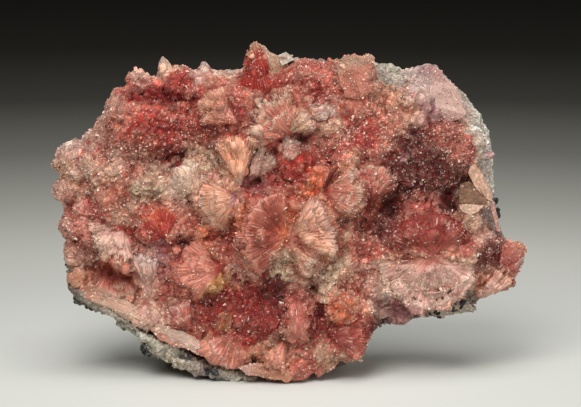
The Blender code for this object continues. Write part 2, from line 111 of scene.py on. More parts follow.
# Regions of the crust: column, row, half width, half height, colour and share of pale grains.
REGIONS = [
    (94, 128, 14, 16, "blush", 0.3), (72, 146, 12, 8, "lilac", 0.1),
    (84, 130, 11, 11, "lilac", 0.1), (97, 111, 11, 11, "lilac", 0.1),
    (70, 154, 12, 6, "blush", 0.4), (112, 104, 10, 12, "blush", 0.2), (124, 86, 12, 8, "rose", 0.3),
    # Painted shade: the "garnet" region at (152, 96) and the "dark" one at (172, 104) darken the upper
    # left cavity.
    (142, 76, 13, 9, "blush", 0.6), (152, 96, 26, 7, "garnet", -0.05),
    (172, 104, 10, 5, "dark", 0.0), (178, 84, 18, 10, "red", 0.5), (176, 98, 12, 6, "ruby", 0.1),
    (164, 66, 7, 12, "cream", 0.2), (203, 74, 8, 12, "lilac", 0.2), (226, 73, 16, 4, "frost", 0.3),
    (222, 84, 14, 6, "salmon", 0.3), (120, 112, 14, 12, "rose", 0.4),
    (140, 124, 20, 12, "red", 0.15), (138, 106, 22, 5, "salmon", 0.3),
    (120, 122, 8, 14, "salmon", 0.4), (182, 108, 12, 6, "salmon", 0.3),
    (162, 110, 12, 6, "red", 0.2), (116, 134, 12, 12, "rose", 0.5),
    (140, 146, 26, 10, "brick", 0.9), (130, 160, 20, 7, "blush", 0.7),
    (166, 140, 10, 14, "ruby", 0.4), (194, 122, 16, 14, "red", 0.8),
    (206, 136, 18, 10, "brick", 0.9), (214, 108, 18, 14, "salmon", 0.1),
    (240, 92, 10, 14, "rose", 0.6), (234, 112, 8, 12, "ruby", 0.4), (256, 84, 13, 16, "red", 0.3),
    (256, 48, 7, 6, "peach", 0.3), (254, 66, 12, 10, "red", 0.5), (272, 60, 10, 8, "beige", 0.4),
    (288, 58, 9, 6, "white", 0.3), (254, 96, 8, 7, "beige", 0.2), (272, 100, 10, 6, "ruby", 0.3),
    (300, 78, 20, 14, "rose", 0.5), (324, 70, 14, 10, "rose", 0.4), (318, 90, 16, 8, "red", 0.6),
    (342, 66, 8, 9, "beige", 0.3), (358, 74, 12, 16, "salmon", 0.5),
    (344, 84, 12, 8, "salmon", 0.6), (352, 102, 16, 12, "salmon", 0.3),
    (346, 116, 8, 6, "red", 0.3), (280, 108, 22, 14, "salmon", 0.1), (266, 132, 12, 16, "red", 0.1),
    # Painted shade: the "maroon" region at (296, 138) darkens a small hole.
    (300, 118, 12, 10, "beige", 0.1), (296, 138, 10, 5, "maroon", 0.2),
    (290, 148, 12, 6, "blush", 0.2), (322, 110, 9, 8, "lilac", 0.5),
    (334, 126, 14, 9, "beige", 0.7), (388, 98, 14, 9, "peach", 0.3),
    (380, 116, 20, 10, "salmon", 0.9), (366, 134, 18, 14, "red", 0.9),
    (392, 140, 12, 12, "salmon", 0.9), (390, 78, 14, 9, "bone", 0.3),
    (412, 86, 14, 12, "lilac", 0.3), (432, 72, 8, 10, "mauve", 0.1),
    (432, 92, 18, 10, "lilac", 0.3), (450, 80, 8, 10, "lilac", 0.3),
    (462, 96, 10, 12, "lilac", 0.4), (480, 124, 11, 15, "chalk", 0.2),
    (408, 108, 14, 12, "beige", 0.5), (436, 104, 20, 10, "mauve", 0.4),
    (452, 88, 14, 12, "lilac", 0.3), (470, 112, 12, 14, "beige", 0.4),
    # The "maroon" regions at (420, 150), (438, 170) and (400, 172) are partly the crystals' own colour
    # and partly painted shade in the right hollow.
    (436, 118, 20, 6, "mauve", 0.2), (420, 150, 18, 18, "maroon", 0.6),
    (446, 132, 20, 12, "brick", 0.9), (462, 152, 16, 14, "rose", 0.8),
    (438, 170, 22, 16, "maroon", 0.7), (485, 148, 9, 18, "chalk", 0.2),
    (66, 166, 10, 8, "beige", 0.5), (86, 160, 14, 10, "rose", 0.5),
    (104, 172, 16, 12, "beige", 0.9), (60, 192, 8, 12, "blush", 0.3),
    (84, 184, 16, 12, "beige", 0.8), (112, 196, 16, 12, "salmon", 0.4),
    (132, 174, 12, 10, "rose", 0.9), (150, 176, 14, 12, "cream", 0.7),
    (148, 196, 16, 9, "sage", 0.5), (172, 154, 11, 9, "ruby", 0.15),
    (182, 178, 15, 15, "frost", 0.2), (208, 164, 18, 15, "pearl", 0.2),
    (234, 154, 12, 18, "peach", 0.1), (256, 160, 12, 14, "blush", 0.3),
    (216, 202, 22, 18, "peach", 0.0), (210, 186, 14, 7, "blush", 0.1),
    (258, 186, 12, 8, "mauve", 0.1), (172, 204, 18, 10, "blush", 0.7),
    (250, 142, 10, 10, "rose", 0.2), (298, 166, 18, 16, "red", 0.25),
    (268, 176, 10, 12, "rose", 0.2), (316, 186, 14, 14, "orange", 0.2),
    (330, 150, 14, 12, "rose", 0.6), (350, 160, 12, 8, "peach", 0.4),
    (374, 182, 16, 18, "rose", 0.3), (348, 196, 14, 14, "peach", 0.3),
    (332, 196, 10, 14, "salmon", 0.1), (400, 172, 14, 14, "maroon", 0.6),
    # Painted shade: the "dark" region at (392, 204) darkens a recess.
    (392, 204, 10, 12, "dark", 0.1), (404, 148, 8, 10, "mauve", 0.3),
    (266, 200, 22, 16, "red", 0.2), (262, 222, 22, 18, "orange", 0.1),
    (250, 246, 12, 16, "salmon", 0.1), (284, 208, 12, 14, "orange", 0.1),
    (316, 224, 22, 16, "peach", 0.1), (306, 246, 10, 8, "salmon", 0.1),
    (322, 250, 12, 8, "peach", 0.1), (342, 236, 8, 14, "beige", 0.3),
    # Painted light: the "pearl" region at (328, 272) is lighter than its own colour, against the shade
    # of the hollow it lies in.
    (280, 264, 13, 11, "pearl", 0.1), (328, 272, 18, 16, "pearl", 0.2),
    (310, 262, 8, 12, "salmon", 0.1), (254, 268, 7, 10, "salmon", 0.1),
    (72, 212, 12, 14, "rose", 0.4), (78, 236, 14, 12, "rose", 0.5), (66, 236, 7, 20, "blush", 0.3),
    (102, 214, 14, 10, "rose", 0.5), (94, 248, 10, 12, "brick", 0.9),
    (124, 212, 12, 9, "beige", 0.9), (98, 226, 10, 7, "blush", 0.2), (120, 240, 16, 8, "rose", 0.2),
    (114, 258, 18, 7, "cream", 0.1), (154, 222, 16, 18, "red", 0.3),
    (162, 208, 10, 8, "orange", 0.3), (190, 224, 15, 12, "salmon", 0.3),
    (206, 232, 10, 8, "orange", 0.2), (184, 244, 12, 5, "maroon", 0.1),
    (112, 276, 18, 10, "salmon", 0.0), (128, 284, 10, 10, "brick", 0.1),
    (76, 280, 12, 14, "peach", 0.1), (84, 262, 10, 6, "blush", 0.2),
    (146, 268, 10, 20, "blush", 0.1), (160, 258, 8, 14, "mauve", 0.1),
    (186, 262, 16, 14, "rose", 0.2), (206, 254, 14, 10, "orange", 0.2),
    (214, 281, 15, 9, "yellow", 0.1), (182, 284, 16, 12, "rose", 0.2),
    (228, 248, 14, 16, "rose", 0.7), (240, 270, 10, 12, "blush", 0.7),
    (218, 268, 10, 8, "red", 0.2), (120, 304, 20, 8, "cream", 0.2), (96, 296, 14, 8, "blush", 0.3),
    (146, 316, 14, 10, "cream", 0.1), (180, 314, 16, 14, "rose", 0.3),
    (200, 306, 12, 8, "ruby", 0.3), (168, 312, 6, 14, "blush", 0.1),
    (240, 296, 24, 12, "ruby", 0.5), (236, 316, 26, 16, "ruby", 0.5),
    (210, 318, 10, 12, "red", 0.4), (264, 312, 16, 20, "ruby", 0.5),
    (226, 322, 6, 6, "yellow", 0.1), (232, 344, 24, 10, "red", 0.4),
    (196, 344, 16, 10, "peach", 0.1), (226, 360, 24, 7, "peach", 0.1),
    (270, 356, 18, 12, "peach", 0.1), (284, 342, 6, 8, "brown", 0.1),
    (278, 292, 10, 12, "maroon", 0.5), (296, 300, 12, 12, "rose", 0.4),
    (296, 336, 11, 20, "salmon", 0.4), (302, 368, 18, 10, "rose", 0.5),
    (318, 312, 8, 14, "ruby", 0.3), (340, 306, 11, 13, "orange", 0.3),
    (342, 338, 20, 16, "brick", 0.3), (360, 330, 12, 14, "red", 0.4),
    (326, 328, 10, 6, "ruby", 0.2), (324, 354, 9, 12, "beige", 0.2), (364, 308, 9, 9, "peach", 0.2),
    (348, 356, 16, 7, "beige", 0.5), (326, 288, 9, 7, "cream", 0.2),
    (350, 284, 12, 12, "salmon", 0.7), (366, 248, 14, 16, "rose", 0.6),
    (368, 274, 14, 12, "blush", 0.6), (310, 288, 8, 7, "maroon", 0.4),
    (366, 222, 12, 12, "brick", 0.5), (386, 226, 12, 12, "maroon", 0.4),
    (416, 222, 24, 12, "rust", 0.2), (424, 208, 18, 8, "rose", 0.3),
    (434, 244, 26, 9, "salmon", 0.0), (398, 246, 14, 10, "brick", 0.4),
    # Painted shade: the "dark" region at (448, 202) darkens a recess.
    (464, 222, 10, 14, "beige", 0.7), (448, 202, 9, 8, "dark", 0.0),
    (474, 192, 10, 10, "brown", 0.1), (474, 210, 12, 6, "cream", 0.1),
    (484, 182, 8, 16, "cream", 0.1), (480, 226, 10, 12, "blush", 0.7),
    (488, 212, 6, 18, "lilac", 0.3), (400, 272, 20, 14, "beige", 0.3),
    (430, 282, 26, 16, "blush", 0.1), (460, 272, 18, 14, "cream", 0.05),
    (382, 304, 10, 12, "lilac", 0.3), (406, 314, 16, 10, "mauve", 0.3),
    (426, 304, 12, 6, "blush", 0.2), (494, 258, 16, 14, "maroon", 0.7),
    (514, 250, 12, 8, "salmon", 0.2), (516, 266, 8, 10, "rose", 0.3),
    (490, 282, 14, 10, "peach", 0.1), (470, 244, 12, 8, "rose", 0.4),
    (500, 284, 12, 8, "rose", 0.1),
]

# Patches of the rock, in the same form.
ROCK_PATCHES = [
    (64, 298, 12, 9, "slate", 0.0), (92, 306, 14, 8, "grey", 0.0), (108, 318, 12, 8, "white", 0.0),
    (128, 330, 14, 10, "chalk", 0.0), (142, 352, 6, 6, "slate", 0.0),
    (160, 344, 12, 9, "bone", 0.0), (182, 358, 14, 9, "bone", 0.0), (206, 366, 14, 9, "haze", 0.0),
    (234, 374, 14, 7, "bone", 0.0), (222, 380, 10, 5, "slate", 0.0), (262, 378, 20, 7, "grey", 0.0),
    (300, 380, 24, 7, "slate", 0.0), (388, 78, 18, 10, "bone", 0.0), (432, 66, 24, 6, "lilac", 0.0),
    (462, 92, 12, 16, "white", 0.0), (482, 122, 12, 14, "chalk", 0.0),
    (488, 146, 9, 12, "chalk", 0.0), (493, 176, 8, 14, "chalk", 0.0),
    (498, 204, 8, 12, "haze", 0.0), (372, 318, 20, 8, "haze", 0.0), (410, 318, 18, 8, "grey", 0.0),
    (446, 306, 14, 10, "bone", 0.0), (466, 312, 14, 8, "white", 0.0), (300, 54, 40, 5, "haze", 0.0),
    (226, 70, 24, 5, "blush", 0.0), (150, 76, 30, 14, "haze", 0.0), (88, 118, 20, 26, "lilac", 0.0),
    (56, 180, 14, 30, "blush", 0.0), (56, 250, 12, 30, "haze", 0.0),
]

# Fans of blades: column and row of the centre, radius, first and last direction in degrees
# anticlockwise from the right, depths of the centre and of the rim, colours of the root, the
# middle and the rim, and how far the rim stands out in millimetres.
FANS = {
    "upper_fan": (292, 136, 45, 92, 198, -14.4, -17.4, "red", "salmon", "cream", 1.4),
    "upper_side_fan": (286, 134, 29, 6, 54, -15.4, -17.4, "beige", "tan", "blush", 1.05),
    "small_fan": (240, 126, 40, 122, 176, -11.4, -14.4, "rose", "salmon", "peach", 1.05),
    # Painted light: "apricot" makes this fan lighter than its own colour, against the shade of its
    # hollow.
    "orange_fan": (240, 187, 50, 70, 120, -15.4, -17.6, "cream", "apricot", "apricot", 1.0),
    "orange_side_fan": (246, 184, 40, 28, 72, -13.8, -15.5, "rose", "blush", "cream", 1.2),
    "centre_fan_left": (287, 237, 52, 88, 232, -18.4, -20.6, "orange", "brick", "salmon", 0.7),
    "centre_fan_right": (288, 238, 48, -22, 62, -18.4, -20.6, "rose", "peach", "blush", 1.2),
    "pale_wedge": (289, 242, 38, -66, -32, -17.6, -19.8, "salmon", "peach", "cream", 1.4),
    "right_fan": (322, 192, 40, -42, 40, -15.4, -18.4, "red", "salmon", "cream", 1.05),
    "great_pale_fan": (430, 256, 56, 186, 350, -13.4, -8.6, "salmon", "blush", "frost", 0.15),
    "low_pale_fan": (411, 303, 26, 20, 165, -11.5, -12.5, "mauve", "blush", "frost", 0.3),
    "red_mound_fan": (432, 256, 46, 22, 160, -14.4, -12.4, "rose", "rust", "ruby", 0.15),
    "cream_crescent": (124, 226, 37, 172, 292, -11.4, -14.6, "red", "blush", "cream", 1.1),
    "great_dome_skirt": (236, 330, 54, 196, 296, -15.2, -14.4, "red", "salmon", "blush", 0.35),
    "skirt_wing": (286, 332, 44, 236, 268, -16.2, -16.4, "rose", "salmon", "peach", 0.9),
    "pod_fan": (146, 300, 34, 226, 316, -11.6, -12.6, "rose", "blush", "cream", 0.8),
    "tip_fan": (474, 304, 51, 27, 56, -5.6, -5.8, "mauve", "blush", "peach", 1.05),
    "left_blades": (98, 216, 26, 120, 178, -8.6, -8.8, "red", "rose", "blush", 0.7),
    "middle_blades": (150, 298, 46, 76, 114, -9.6, -12.6, "blush", "blush", "lilac", 0.9),
    "salmon_tuft": (231, 124, 35, 98, 160, -11.4, -13.6, "red", "salmon", "peach", 1.05),
    "white_tuft": (201, 196, 36, 92, 172, -14.4, -15.4, "peach", "cream", "frost", 0.8),
    "pale_ball_fan": (238, 196, 40, 150, 250, -16.0, -19.6, "mauve", "peach", "cream", 0.5),
    "mini_fan": (284, 152, 18, 20, 100, -13.4, -14.4, "mauve", "blush", "white", 1.05),
    "coral_fan": (166, 240, 34, 60, 140, -12.0, -15.8, "ruby", "red", "orange", 1.05),
    "apricot_fan": (222, 268, 44, 128, 236, -15.4, -17.6, "red", "salmon", "salmon", 0.45),
    "lower_right_fan": (326, 334, 42, -48, 26, -15.6, -15.8, "ruby", "rust", "rose", 0.6),
    "column_fan": (298, 350, 50, 78, 104, -17.0, -18.8, "red", "rose", "rose", 0.4),
    "shoulder_fan": (100, 176, 30, 110, 190, -7.6, -7.6, "brick", "beige", "blush", 0.5),
    "red_pod_fan": (192, 332, 32, 92, 168, -13.2, -14.6, "ruby", "rose", "blush", 1.05),
    "pink_right_fan": (372, 200, 34, 40, 128, -13.2, -15.2, "red", "rose", "beige", 1.05),
    "ledge_fan": (112, 254, 48, 240, 302, -9.6, -10.6, "rose", "salmon", "cream", 0.5),
}
SMALL_SPRAYS = 6000

# Hollows between the domes: column, row, half width, half height and how much deeper in
# millimetres. The last also sets how dark their painted shade is.
HOLLOWS = [
    (154, 97, 27, 7, 2.4), (174, 156, 12, 9, 0.1), (256, 185, 11, 9, 0.5), (292, 142, 12, 7, 0.8),
    (395, 205, 17, 15, 0.2), (449, 203, 12, 10, 0.2), (112, 276, 17, 8, 0.0), (322, 312, 7, 9, 0.2),
    (312, 289, 6, 6, 0.5), (284, 343, 5, 7, 0.5), (498, 274, 8, 8, 0.3), (184, 243, 10, 6, 0.5),
    (232, 208, 5, 5, 0.4), (212, 262, 6, 6, 1.2),
]

# Crystals that stand alone: corners of the outline, the ridge's two ends, the outline's depth or
# None where it lies on the crust, how far the ridge stands out at its two ends in millimetres,
# colours at those ends and of the streaks, and share of pale grains.
CRYSTALS = {
    "left_spire": (
        ((158, 84), (159, 64), (160, 57), (163, 56), (168, 62), (174, 71), (178, 82), (172, 90),
         (162, 90)),
        (162, 58, 168, 86), -1.0, (0.5, 2.2), "frost", "cream", "lilac", -0.1),
    "lilac_spire": (
        ((189, 86), (196, 74), (203, 62), (206, 61), (209, 66), (213, 77), (218, 89), (202, 94)),
        (205, 64, 205, 90), 0.0, (0.5, 2.2), "lilac", "rose", "mauve", -0.1),
    "peak": (
        ((237, 108), (239, 94), (245, 74), (250, 51), (254, 43), (258, 42), (262, 48), (267, 62),
         (271, 80), (273, 100), (268, 113), (252, 116)),
        (255, 46, 257, 72), -6.8, (0.6, 2.8), "tan", "red", "ruby", 0.6),
    "peak_side": (
        ((258, 44), (266, 49), (275, 54), (285, 57), (289, 70), (287, 90), (278, 106), (268, 104),
         (263, 70)),
        (266, 54, 276, 96), -4.2, (0.6, 2.4), "cream", "tan", "brick", 0.6),
    "white_block": (
        ((276, 60), (280, 54), (287, 52), (293, 57), (297, 64), (297, 76), (286, 82), (278, 74)),
        (285, 55, 288, 74), -1.0, (0.5, 1.6), "white", "beige", "white", 0.1),
    "lilac_peak": (
        ((396, 120), (401, 104), (411, 87), (421, 75), (428, 67), (432, 65), (436, 67), (443, 75),
         (453, 87), (462, 101), (466, 114), (452, 122), (430, 127), (408, 126)),
        (431, 69, 429, 108), -4.2, (0.6, 2.8), "mauve", "lilac", "blush", 0.7),
    "plum_ridge": (
        ((414, 128), (417, 121), (432, 112), (447, 105), (451, 109), (441, 118), (424, 130)),
        (447, 108, 419, 125), -4.6, (1.0, 2.0), "mauve", "mauve", "blush", 0.1),
    "east_bud": (
        ((482, 158), (484, 153), (491, 151), (495, 154), (493, 158), (486, 161)),
        (493, 154, 484, 157), -3.0, (0.5, 1.2), "lilac", "mauve", "blush", 0.0),
    "right_horn": (
        ((486, 270), (492, 254), (506, 245), (520, 242), (526, 246), (527, 254), (519, 265),
         (500, 279)),
        (524, 248, 495, 268), -2.6, (0.8, 2.6), "peach", "rose", "maroon", 0.9),
    "right_tip": (
        ((486, 290), (492, 272), (510, 263), (523, 257), (526, 264), (517, 276), (500, 292)),
        (523, 262, 494, 282), -2.8, (0.6, 2.2), "blush", "rose", "mauve", 0.4),
    "hanging_blade": (
        ((245, 248), (252, 244), (260, 249), (263, 262), (260, 275), (256, 280), (252, 276),
         (247, 262)),
        (256, 277, 253, 250), -18.6, (0.5, 1.2), "rose", "peach", "salmon", 0.0),
    "dark_blade": (
        ((322, 188), (328, 178), (336, 167), (338, 168), (331, 180), (324, 189)),
        (336, 169, 324, 187), -17.9, (0.3, 0.4), "brick", "maroon", "maroon", -0.1),
    "pale_sliver": (
        ((304, 250), (312, 246), (319, 256), (318, 272), (315, 281), (311, 268)),
        (315, 279, 311, 250), -18.4, (0.5, 1.3), "peach", "blush", "peach", 0.0),
    "block": (
        ((337, 68), (344, 57), (357, 58), (371, 57), (374, 58), (373, 78), (371, 94), (361, 101),
         (347, 99), (340, 84)),
        (352, 64, 360, 94), None, (0.5, 0.8), "beige", "salmon", "peach", 0.6),
    "shelf_lip": (
        ((79, 287), (90, 285), (104, 290), (112, 298), (124, 301), (137, 309), (149, 321),
         (142, 327), (128, 320), (112, 316), (96, 306), (82, 300)),
        (88, 293, 138, 318), None, (0.4, 0.7), "peach", "cream", "rose", 0.8),
    "ledge_lip": (
        ((152, 330), (160, 325), (170, 330), (182, 331), (190, 337), (200, 341), (207, 351),
         (198, 355), (188, 350), (178, 348), (166, 342), (158, 339)),
        (160, 333, 196, 347), None, (0.4, 0.7), "cream", "frost", "salmon", 0.9),
    "foot_lip": (
        ((240, 368), (258, 361), (280, 364), (298, 372), (292, 381), (268, 379), (248, 375)),
        (250, 368, 288, 373), -16.4, (0.4, 0.8), "blush", "peach", "rose", 0.6),
    "upright_blade": (
        ((243, 178), (236, 158), (234, 142), (239, 136), (247, 150), (250, 172)),
        (238, 138, 246, 174), -16.4, (0.7, 1.4), "peach", "salmon", "cream", 0.0),
    "leaning_blade": (
        ((250, 176), (252, 160), (260, 146), (266, 148), (262, 162), (256, 178)),
        (263, 149, 252, 174), -15.8, (0.7, 1.2), "cream", "blush", "cream", 0.0),
}

# Flat faces of broken crystals: corners as column and row, how far each corner stands out in
# millimetres, and the colour.
PLATES = {
    "tan_block_edge": (
        ((371, 57), (374, 58), (374, 92), (371, 94)),
        (0.9, 0.4, -0.4, 0.2), "peach"),
    "tan_blade": (
        ((468, 173), (470, 166), (475, 164), (483, 175), (490, 190), (493, 202), (487, 199),
         (475, 187)),
        (0.6, 0.4, 0.2, 0.2, 0.2, 0.4, 0.8, 0.9), "beige"),
    "tan_edge": (
        ((488, 198), (493, 200), (498, 214), (502, 232), (498, 231), (493, 214)),
        (0.7, 0.4, 0.4, 0.2, 0.6, 0.8), "blush"),
    "brown_facet": (
        ((460, 184), (469, 181), (479, 188), (487, 199), (488, 204), (459, 203)),
        (0.6, 0.8, 0.9, 0.9, 1.2, 1.1), "brown"),
    "pale_facet": (
        ((459, 207), (463, 204), (484, 205), (478, 212), (470, 215), (463, 212)),
        (1.0, 1.2, 1.2, 0.8, 0.6, 0.7), "cream"),
    "white_corner": (
        ((277, 56), (286, 52), (294, 60), (282, 66)),
        (0.4, 0.6, 0.2, 0.2), "white"),
}

# Ore grains on the rock: column, row, spread in squares and depth.
ORE_CLUSTERS = [
    (145, 350, 6, -9), (90, 304, 9, -4), (74, 300, 6, -3), (502, 210, 6, 3), (456, 306, 6, -4),
    (436, 318, 6, -3), (258, 378, 9, -11), (500, 200, 4, 4), (210, 376, 8, -11), (424, 322, 6, -2),
    (462, 302, 5, -4),
]


def linear(name):
    """A palette colour in linear light."""
    value = np.array(PALETTE[name]) / 255
    return np.where(value < 0.04045, value / 12.92, ((value + 0.055) / 1.055) ** 2.4)


def place(column, row, depth):
    """The points at these sheet positions and depths in millimetres."""
    column, row, depth = np.broadcast_arrays(column, row, depth)
    up = (FLOOR_ROW - row) * SHEET
    y = depth * MM
    z = (up - (y - FRONT_FOOT) * math.sin(TILT)) / math.cos(TILT)
    return np.stack([(column - MIDDLE) * SHEET, y, z], -1) + SHIFT


def sheet_of(points):
    """The columns, rows and depths in millimetres of these points."""
    x, y, z = np.moveaxis(points - SHIFT, -1, 0)
    up = z * math.cos(TILT) + (y - FRONT_FOOT) * math.sin(TILT)
    return x / SHEET + MIDDLE, FLOOR_ROW - up / SHEET, y / MM


def unit(vectors):
    """The vectors at length 1."""
    return vectors / np.maximum(np.linalg.norm(vectors, axis=-1, keepdims=True), 1e-12)


def waves(points, size, seed, octaves=1):
    """Smooth noise: a sum of plane waves with random directions, about size metres long."""
    rng = np.random.default_rng(seed)
    total = np.zeros(len(points))
    for octave in range(octaves):
        heading = unit(rng.normal(size=(14, 3))) * (2 * math.pi / size * 2**octave)
        heading *= rng.uniform(0.6, 1.4, (14, 1))
        phase = rng.uniform(0, 2 * math.pi, 14)
        total += np.sin(points @ heading.T + phase).sum(1) / 2.6 / 2**octave
    return total


def lumps(points, size, seed):
    """Rounded lumps with sharp creases between them, from -1 to about 1."""
    return 1 - 2 * np.exp(-1.6 * np.abs(waves(points, size, seed)))


def skin_of(node, voxel, smoothing, flatten=1.0):
    """A skin over a solid: its vertices, normals and four-sided faces.

    The cells are even in a copy whose depth is scaled by flatten, so a small value spends
    fewer of them on the sides.
    """
    mesh = node.data.copy()
    bm = bmesh.new()
    bm.from_mesh(mesh)
    bmesh.ops.remove_doubles(bm, verts=bm.verts, dist=1e-6)
    bmesh.ops.scale(bm, vec=(1, flatten, 1), verts=bm.verts)
    bm.to_mesh(mesh)
    bm.free()
    helper = bpy.data.objects.new("skin_helper", mesh)
    bpy.context.scene.collection.objects.link(helper)
    remesh = helper.modifiers.new("skin", "REMESH")
    remesh.mode = "VOXEL"
    remesh.voxel_size = voxel
    smooth = helper.modifiers.new("soften", "SMOOTH")
    smooth.factor = 0.5
    smooth.iterations = smoothing
    graph = bpy.context.evaluated_depsgraph_get()
    skin = bpy.data.meshes.new_from_object(helper.evaluated_get(graph))
    points = np.empty(len(skin.vertices) * 3, np.float32)
    corners = np.empty(len(skin.loops), np.int32)
    skin.vertices.foreach_get("co", points)
    skin.loops.foreach_get("vertex_index", corners)
    bpy.data.objects.remove(helper)
    for used in (mesh, skin):
        bpy.data.meshes.remove(used)
    points = points.reshape(-1, 3).astype(float) / (1, flatten, 1)
    faces = corners.reshape(-1, 4)
    return points, normals_of(points, faces), faces


def spans_of(points, faces):
    """The cross product of each four-sided face's diagonals: its direction, and twice its area."""
    corner = points[faces]
    return np.cross(corner[:, 2] - corner[:, 0], corner[:, 3] - corner[:, 1])


def normals_of(points, faces):
    """The normals at the corners of four-sided faces, larger faces counting for more."""
    flat = spans_of(points, faces)
    normals = np.zeros_like(points)
    for k in range(4):
        for axis in range(3):
            normals[:, axis] += np.bincount(faces[:, k], flat[:, axis], len(points))
    return unit(normals)


def outward(points, faces):
    """The faces, all turned round if together they enclose a negative volume."""
    whole = 0
    for part in faces:
        a = points[part[:, 0]]
        for k in range(1, part.shape[1] - 1):
            whole += (np.cross(a, points[part[:, k]]) * points[part[:, k + 1]]).sum()
    return [part[:, ::-1] for part in faces] if whole < 0 else faces


def new_piece(name, points, faces, tint, pale_glint_share, material, stands_for, pattern=None, flat=True):
    """Makes a piece from arrays. faces is a list of arrays, one for each number of corners.

    pattern is where each point lies in the material's pattern, and by default its place. flat
    says which faces are shaded flat.
    """
    mesh = bpy.data.meshes.new(name)
    corners = np.concatenate([part.ravel() for part in faces])
    sizes = np.concatenate([np.full(len(part), part.shape[1]) for part in faces])
    mesh.vertices.add(len(points))
    mesh.vertices.foreach_set("co", points.astype(np.float32).ravel())
    mesh.loops.add(len(corners))
    mesh.loops.foreach_set("vertex_index", corners.astype(np.int32))
    mesh.polygons.add(len(sizes))
    mesh.polygons.foreach_set("loop_start", (np.cumsum(sizes) - sizes).astype(np.int32))
    sharp = mesh.attributes.new(name="sharp_face", type="BOOLEAN", domain="FACE")
    sharp.data.foreach_set("value", np.broadcast_to(flat, len(sizes)))
    mesh.update(calc_edges=True)
    colours = mesh.color_attributes.new(name="tint", type="FLOAT_COLOR", domain="POINT")
    # The alpha is the share of pale cells in the material, partly pale crystal ends and partly painted
    # glints.
    pale_glint_share = np.broadcast_to(np.reshape(pale_glint_share, (-1, 1)), (len(points), 1))
    rgba = np.concatenate([np.clip(tint, 0, 1), pale_glint_share], 1)
    colours.data.foreach_set("color", rgba.astype(np.float32).ravel())
    pattern = points / MM if pattern is None else pattern
    grain = mesh.attributes.new(name="grain", type="FLOAT_VECTOR", domain="POINT")
    grain.data.foreach_set("vector", pattern.astype(np.float32).ravel())
    mesh.validate()
    mesh.materials.append(material)
    piece = bpy.data.objects.new(name, mesh)
    bpy.context.scene.collection.objects.link(piece)
    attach(piece, "root")
    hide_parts(stands_for)
    return piece


class Relief:
    """The front of the solids along the line of sight, as one depth for each sheet square."""

    def __init__(self, nodes, step=2):
        self.step = step
        trees = []
        for node in nodes:
            bm = bmesh.new()
            bm.from_mesh(node.data)
            trees.append(BVHTree.FromBMesh(bm))
            bm.free()
        columns, rows = np.arange(SHEET_EDGE, 551, step), np.arange(SHEET_EDGE, 401, step)
        grid = place(*np.meshgrid(columns, rows), -60)
        sight = Vector(SIGHT)
        depths = np.full(grid.shape[:2], np.nan)
        crust = np.zeros(grid.shape[:2])
        for number, tree in enumerate(trees):
            for i, line in enumerate(grid):
                for j, start in enumerate(line):
                    hit = tree.ray_cast(Vector(start), sight)[0]
                    if hit is not None and not (hit.y - SHIFT[1]) / MM > depths[i, j]:
                        depths[i, j] = (hit.y - SHIFT[1]) / MM
                        crust[i, j] = number == 0
        self.depths = np.where(np.isnan(depths), 12.0, depths)
        self.level = self.blurred(self.depths, 9)
        self.bridged = self.closed(6)
        self.crust = self.blurred(crust, 8)

    def closed(self, reach):
        """The depths with every valley narrower than twice the reach bridged, then softened."""
        table = self.depths
        for pick in (np.minimum, np.maximum):
            for axis in (0, 1):
                rolled = [np.roll(table, k, axis) for k in range(-reach, reach + 1)]
                table = pick.reduce(rolled)
        return self.blurred(table, 2)

    def blurred(self, table, reach):
        """A table averaged over squares of this reach."""
        padded = np.pad(table, reach, mode="edge")
        total = padded.cumsum(0).cumsum(1)
        total = np.pad(total, ((1, 0), (1, 0)))
        side = 2 * reach + 1
        area = total[side:, side:] - total[:-side, side:] - total[side:, :-side] + total[:-side, :-side]
        return area / side**2

    def read(self, table, columns, rows):
        """The table's values at these sheet positions, between the grid's own."""
        x = np.clip((columns - SHEET_EDGE) / self.step, 0, table.shape[1] - 1.001)
        y = np.clip((rows - SHEET_EDGE) / self.step, 0, table.shape[0] - 1.001)
        i, j = y.astype(int), x.astype(int)
        u, v = x - j, y - i
        return (
            table[i, j] * (1 - u) * (1 - v) + table[i, j + 1] * u * (1 - v)
            + table[i + 1, j] * (1 - u) * v + table[i + 1, j + 1] * u * v
        )

    def hollow(self, points):
        """How far each point lies below the level around it, from 0 to 1 at 5 mm."""
        columns, rows, depths = sheet_of(points)
        return np.clip((depths - self.read(self.level, columns, rows) - 0.6) / 4.5, 0, 1) ** 1.3


def region_mix(points, seed, regions=REGIONS):
    """The regions' colours at these points, and the share of pale grains there."""
    table = np.array([row[:4] for row in regions], float)
    colours = np.array([linear(row[4]) for row in regions])
    pale = np.array([row[5] for row in regions])
    columns, rows, _ = sheet_of(points)
    columns = columns + 3.0 * waves(points, 4 * MM, seed, 2)
    rows = rows + 3.0 * waves(points, 4 * MM, seed + 1, 2)
    tint, share = np.empty((len(points), 3)), np.empty(len(points))
    for start in range(0, len(points), 20000):
        part = slice(start, start + 20000)
        away = ((columns[part, None] - table[:, 0]) / table[:, 2]) ** 2
        away += ((rows[part, None] - table[:, 1]) / table[:, 3]) ** 2
        weight = np.exp(-1.7 * (away - away.min(1, keepdims=True)))
        weight /= weight.sum(1, keepdims=True)
        tint[part], share[part] = weight @ colours, weight @ pale
    return tint, share


def crust_tint(points, relief, seed):
    """The crust's colour: the regions' own and mottled, with painted shade that makes it darker and
    redder in the hollows.
    """
    tint, share = region_mix(points, seed)
    tint *= np.exp(0.16 * waves(points, 2.2 * MM, seed + 2, 2))[:, None] * CRUST_TONE
    # Painted shade: darker and redder where the surface lies below the level around it.
    deep = relief.hollow(points)[:, None]
    return tint * (1 - deep + deep * HOLLOW_SHADE), share


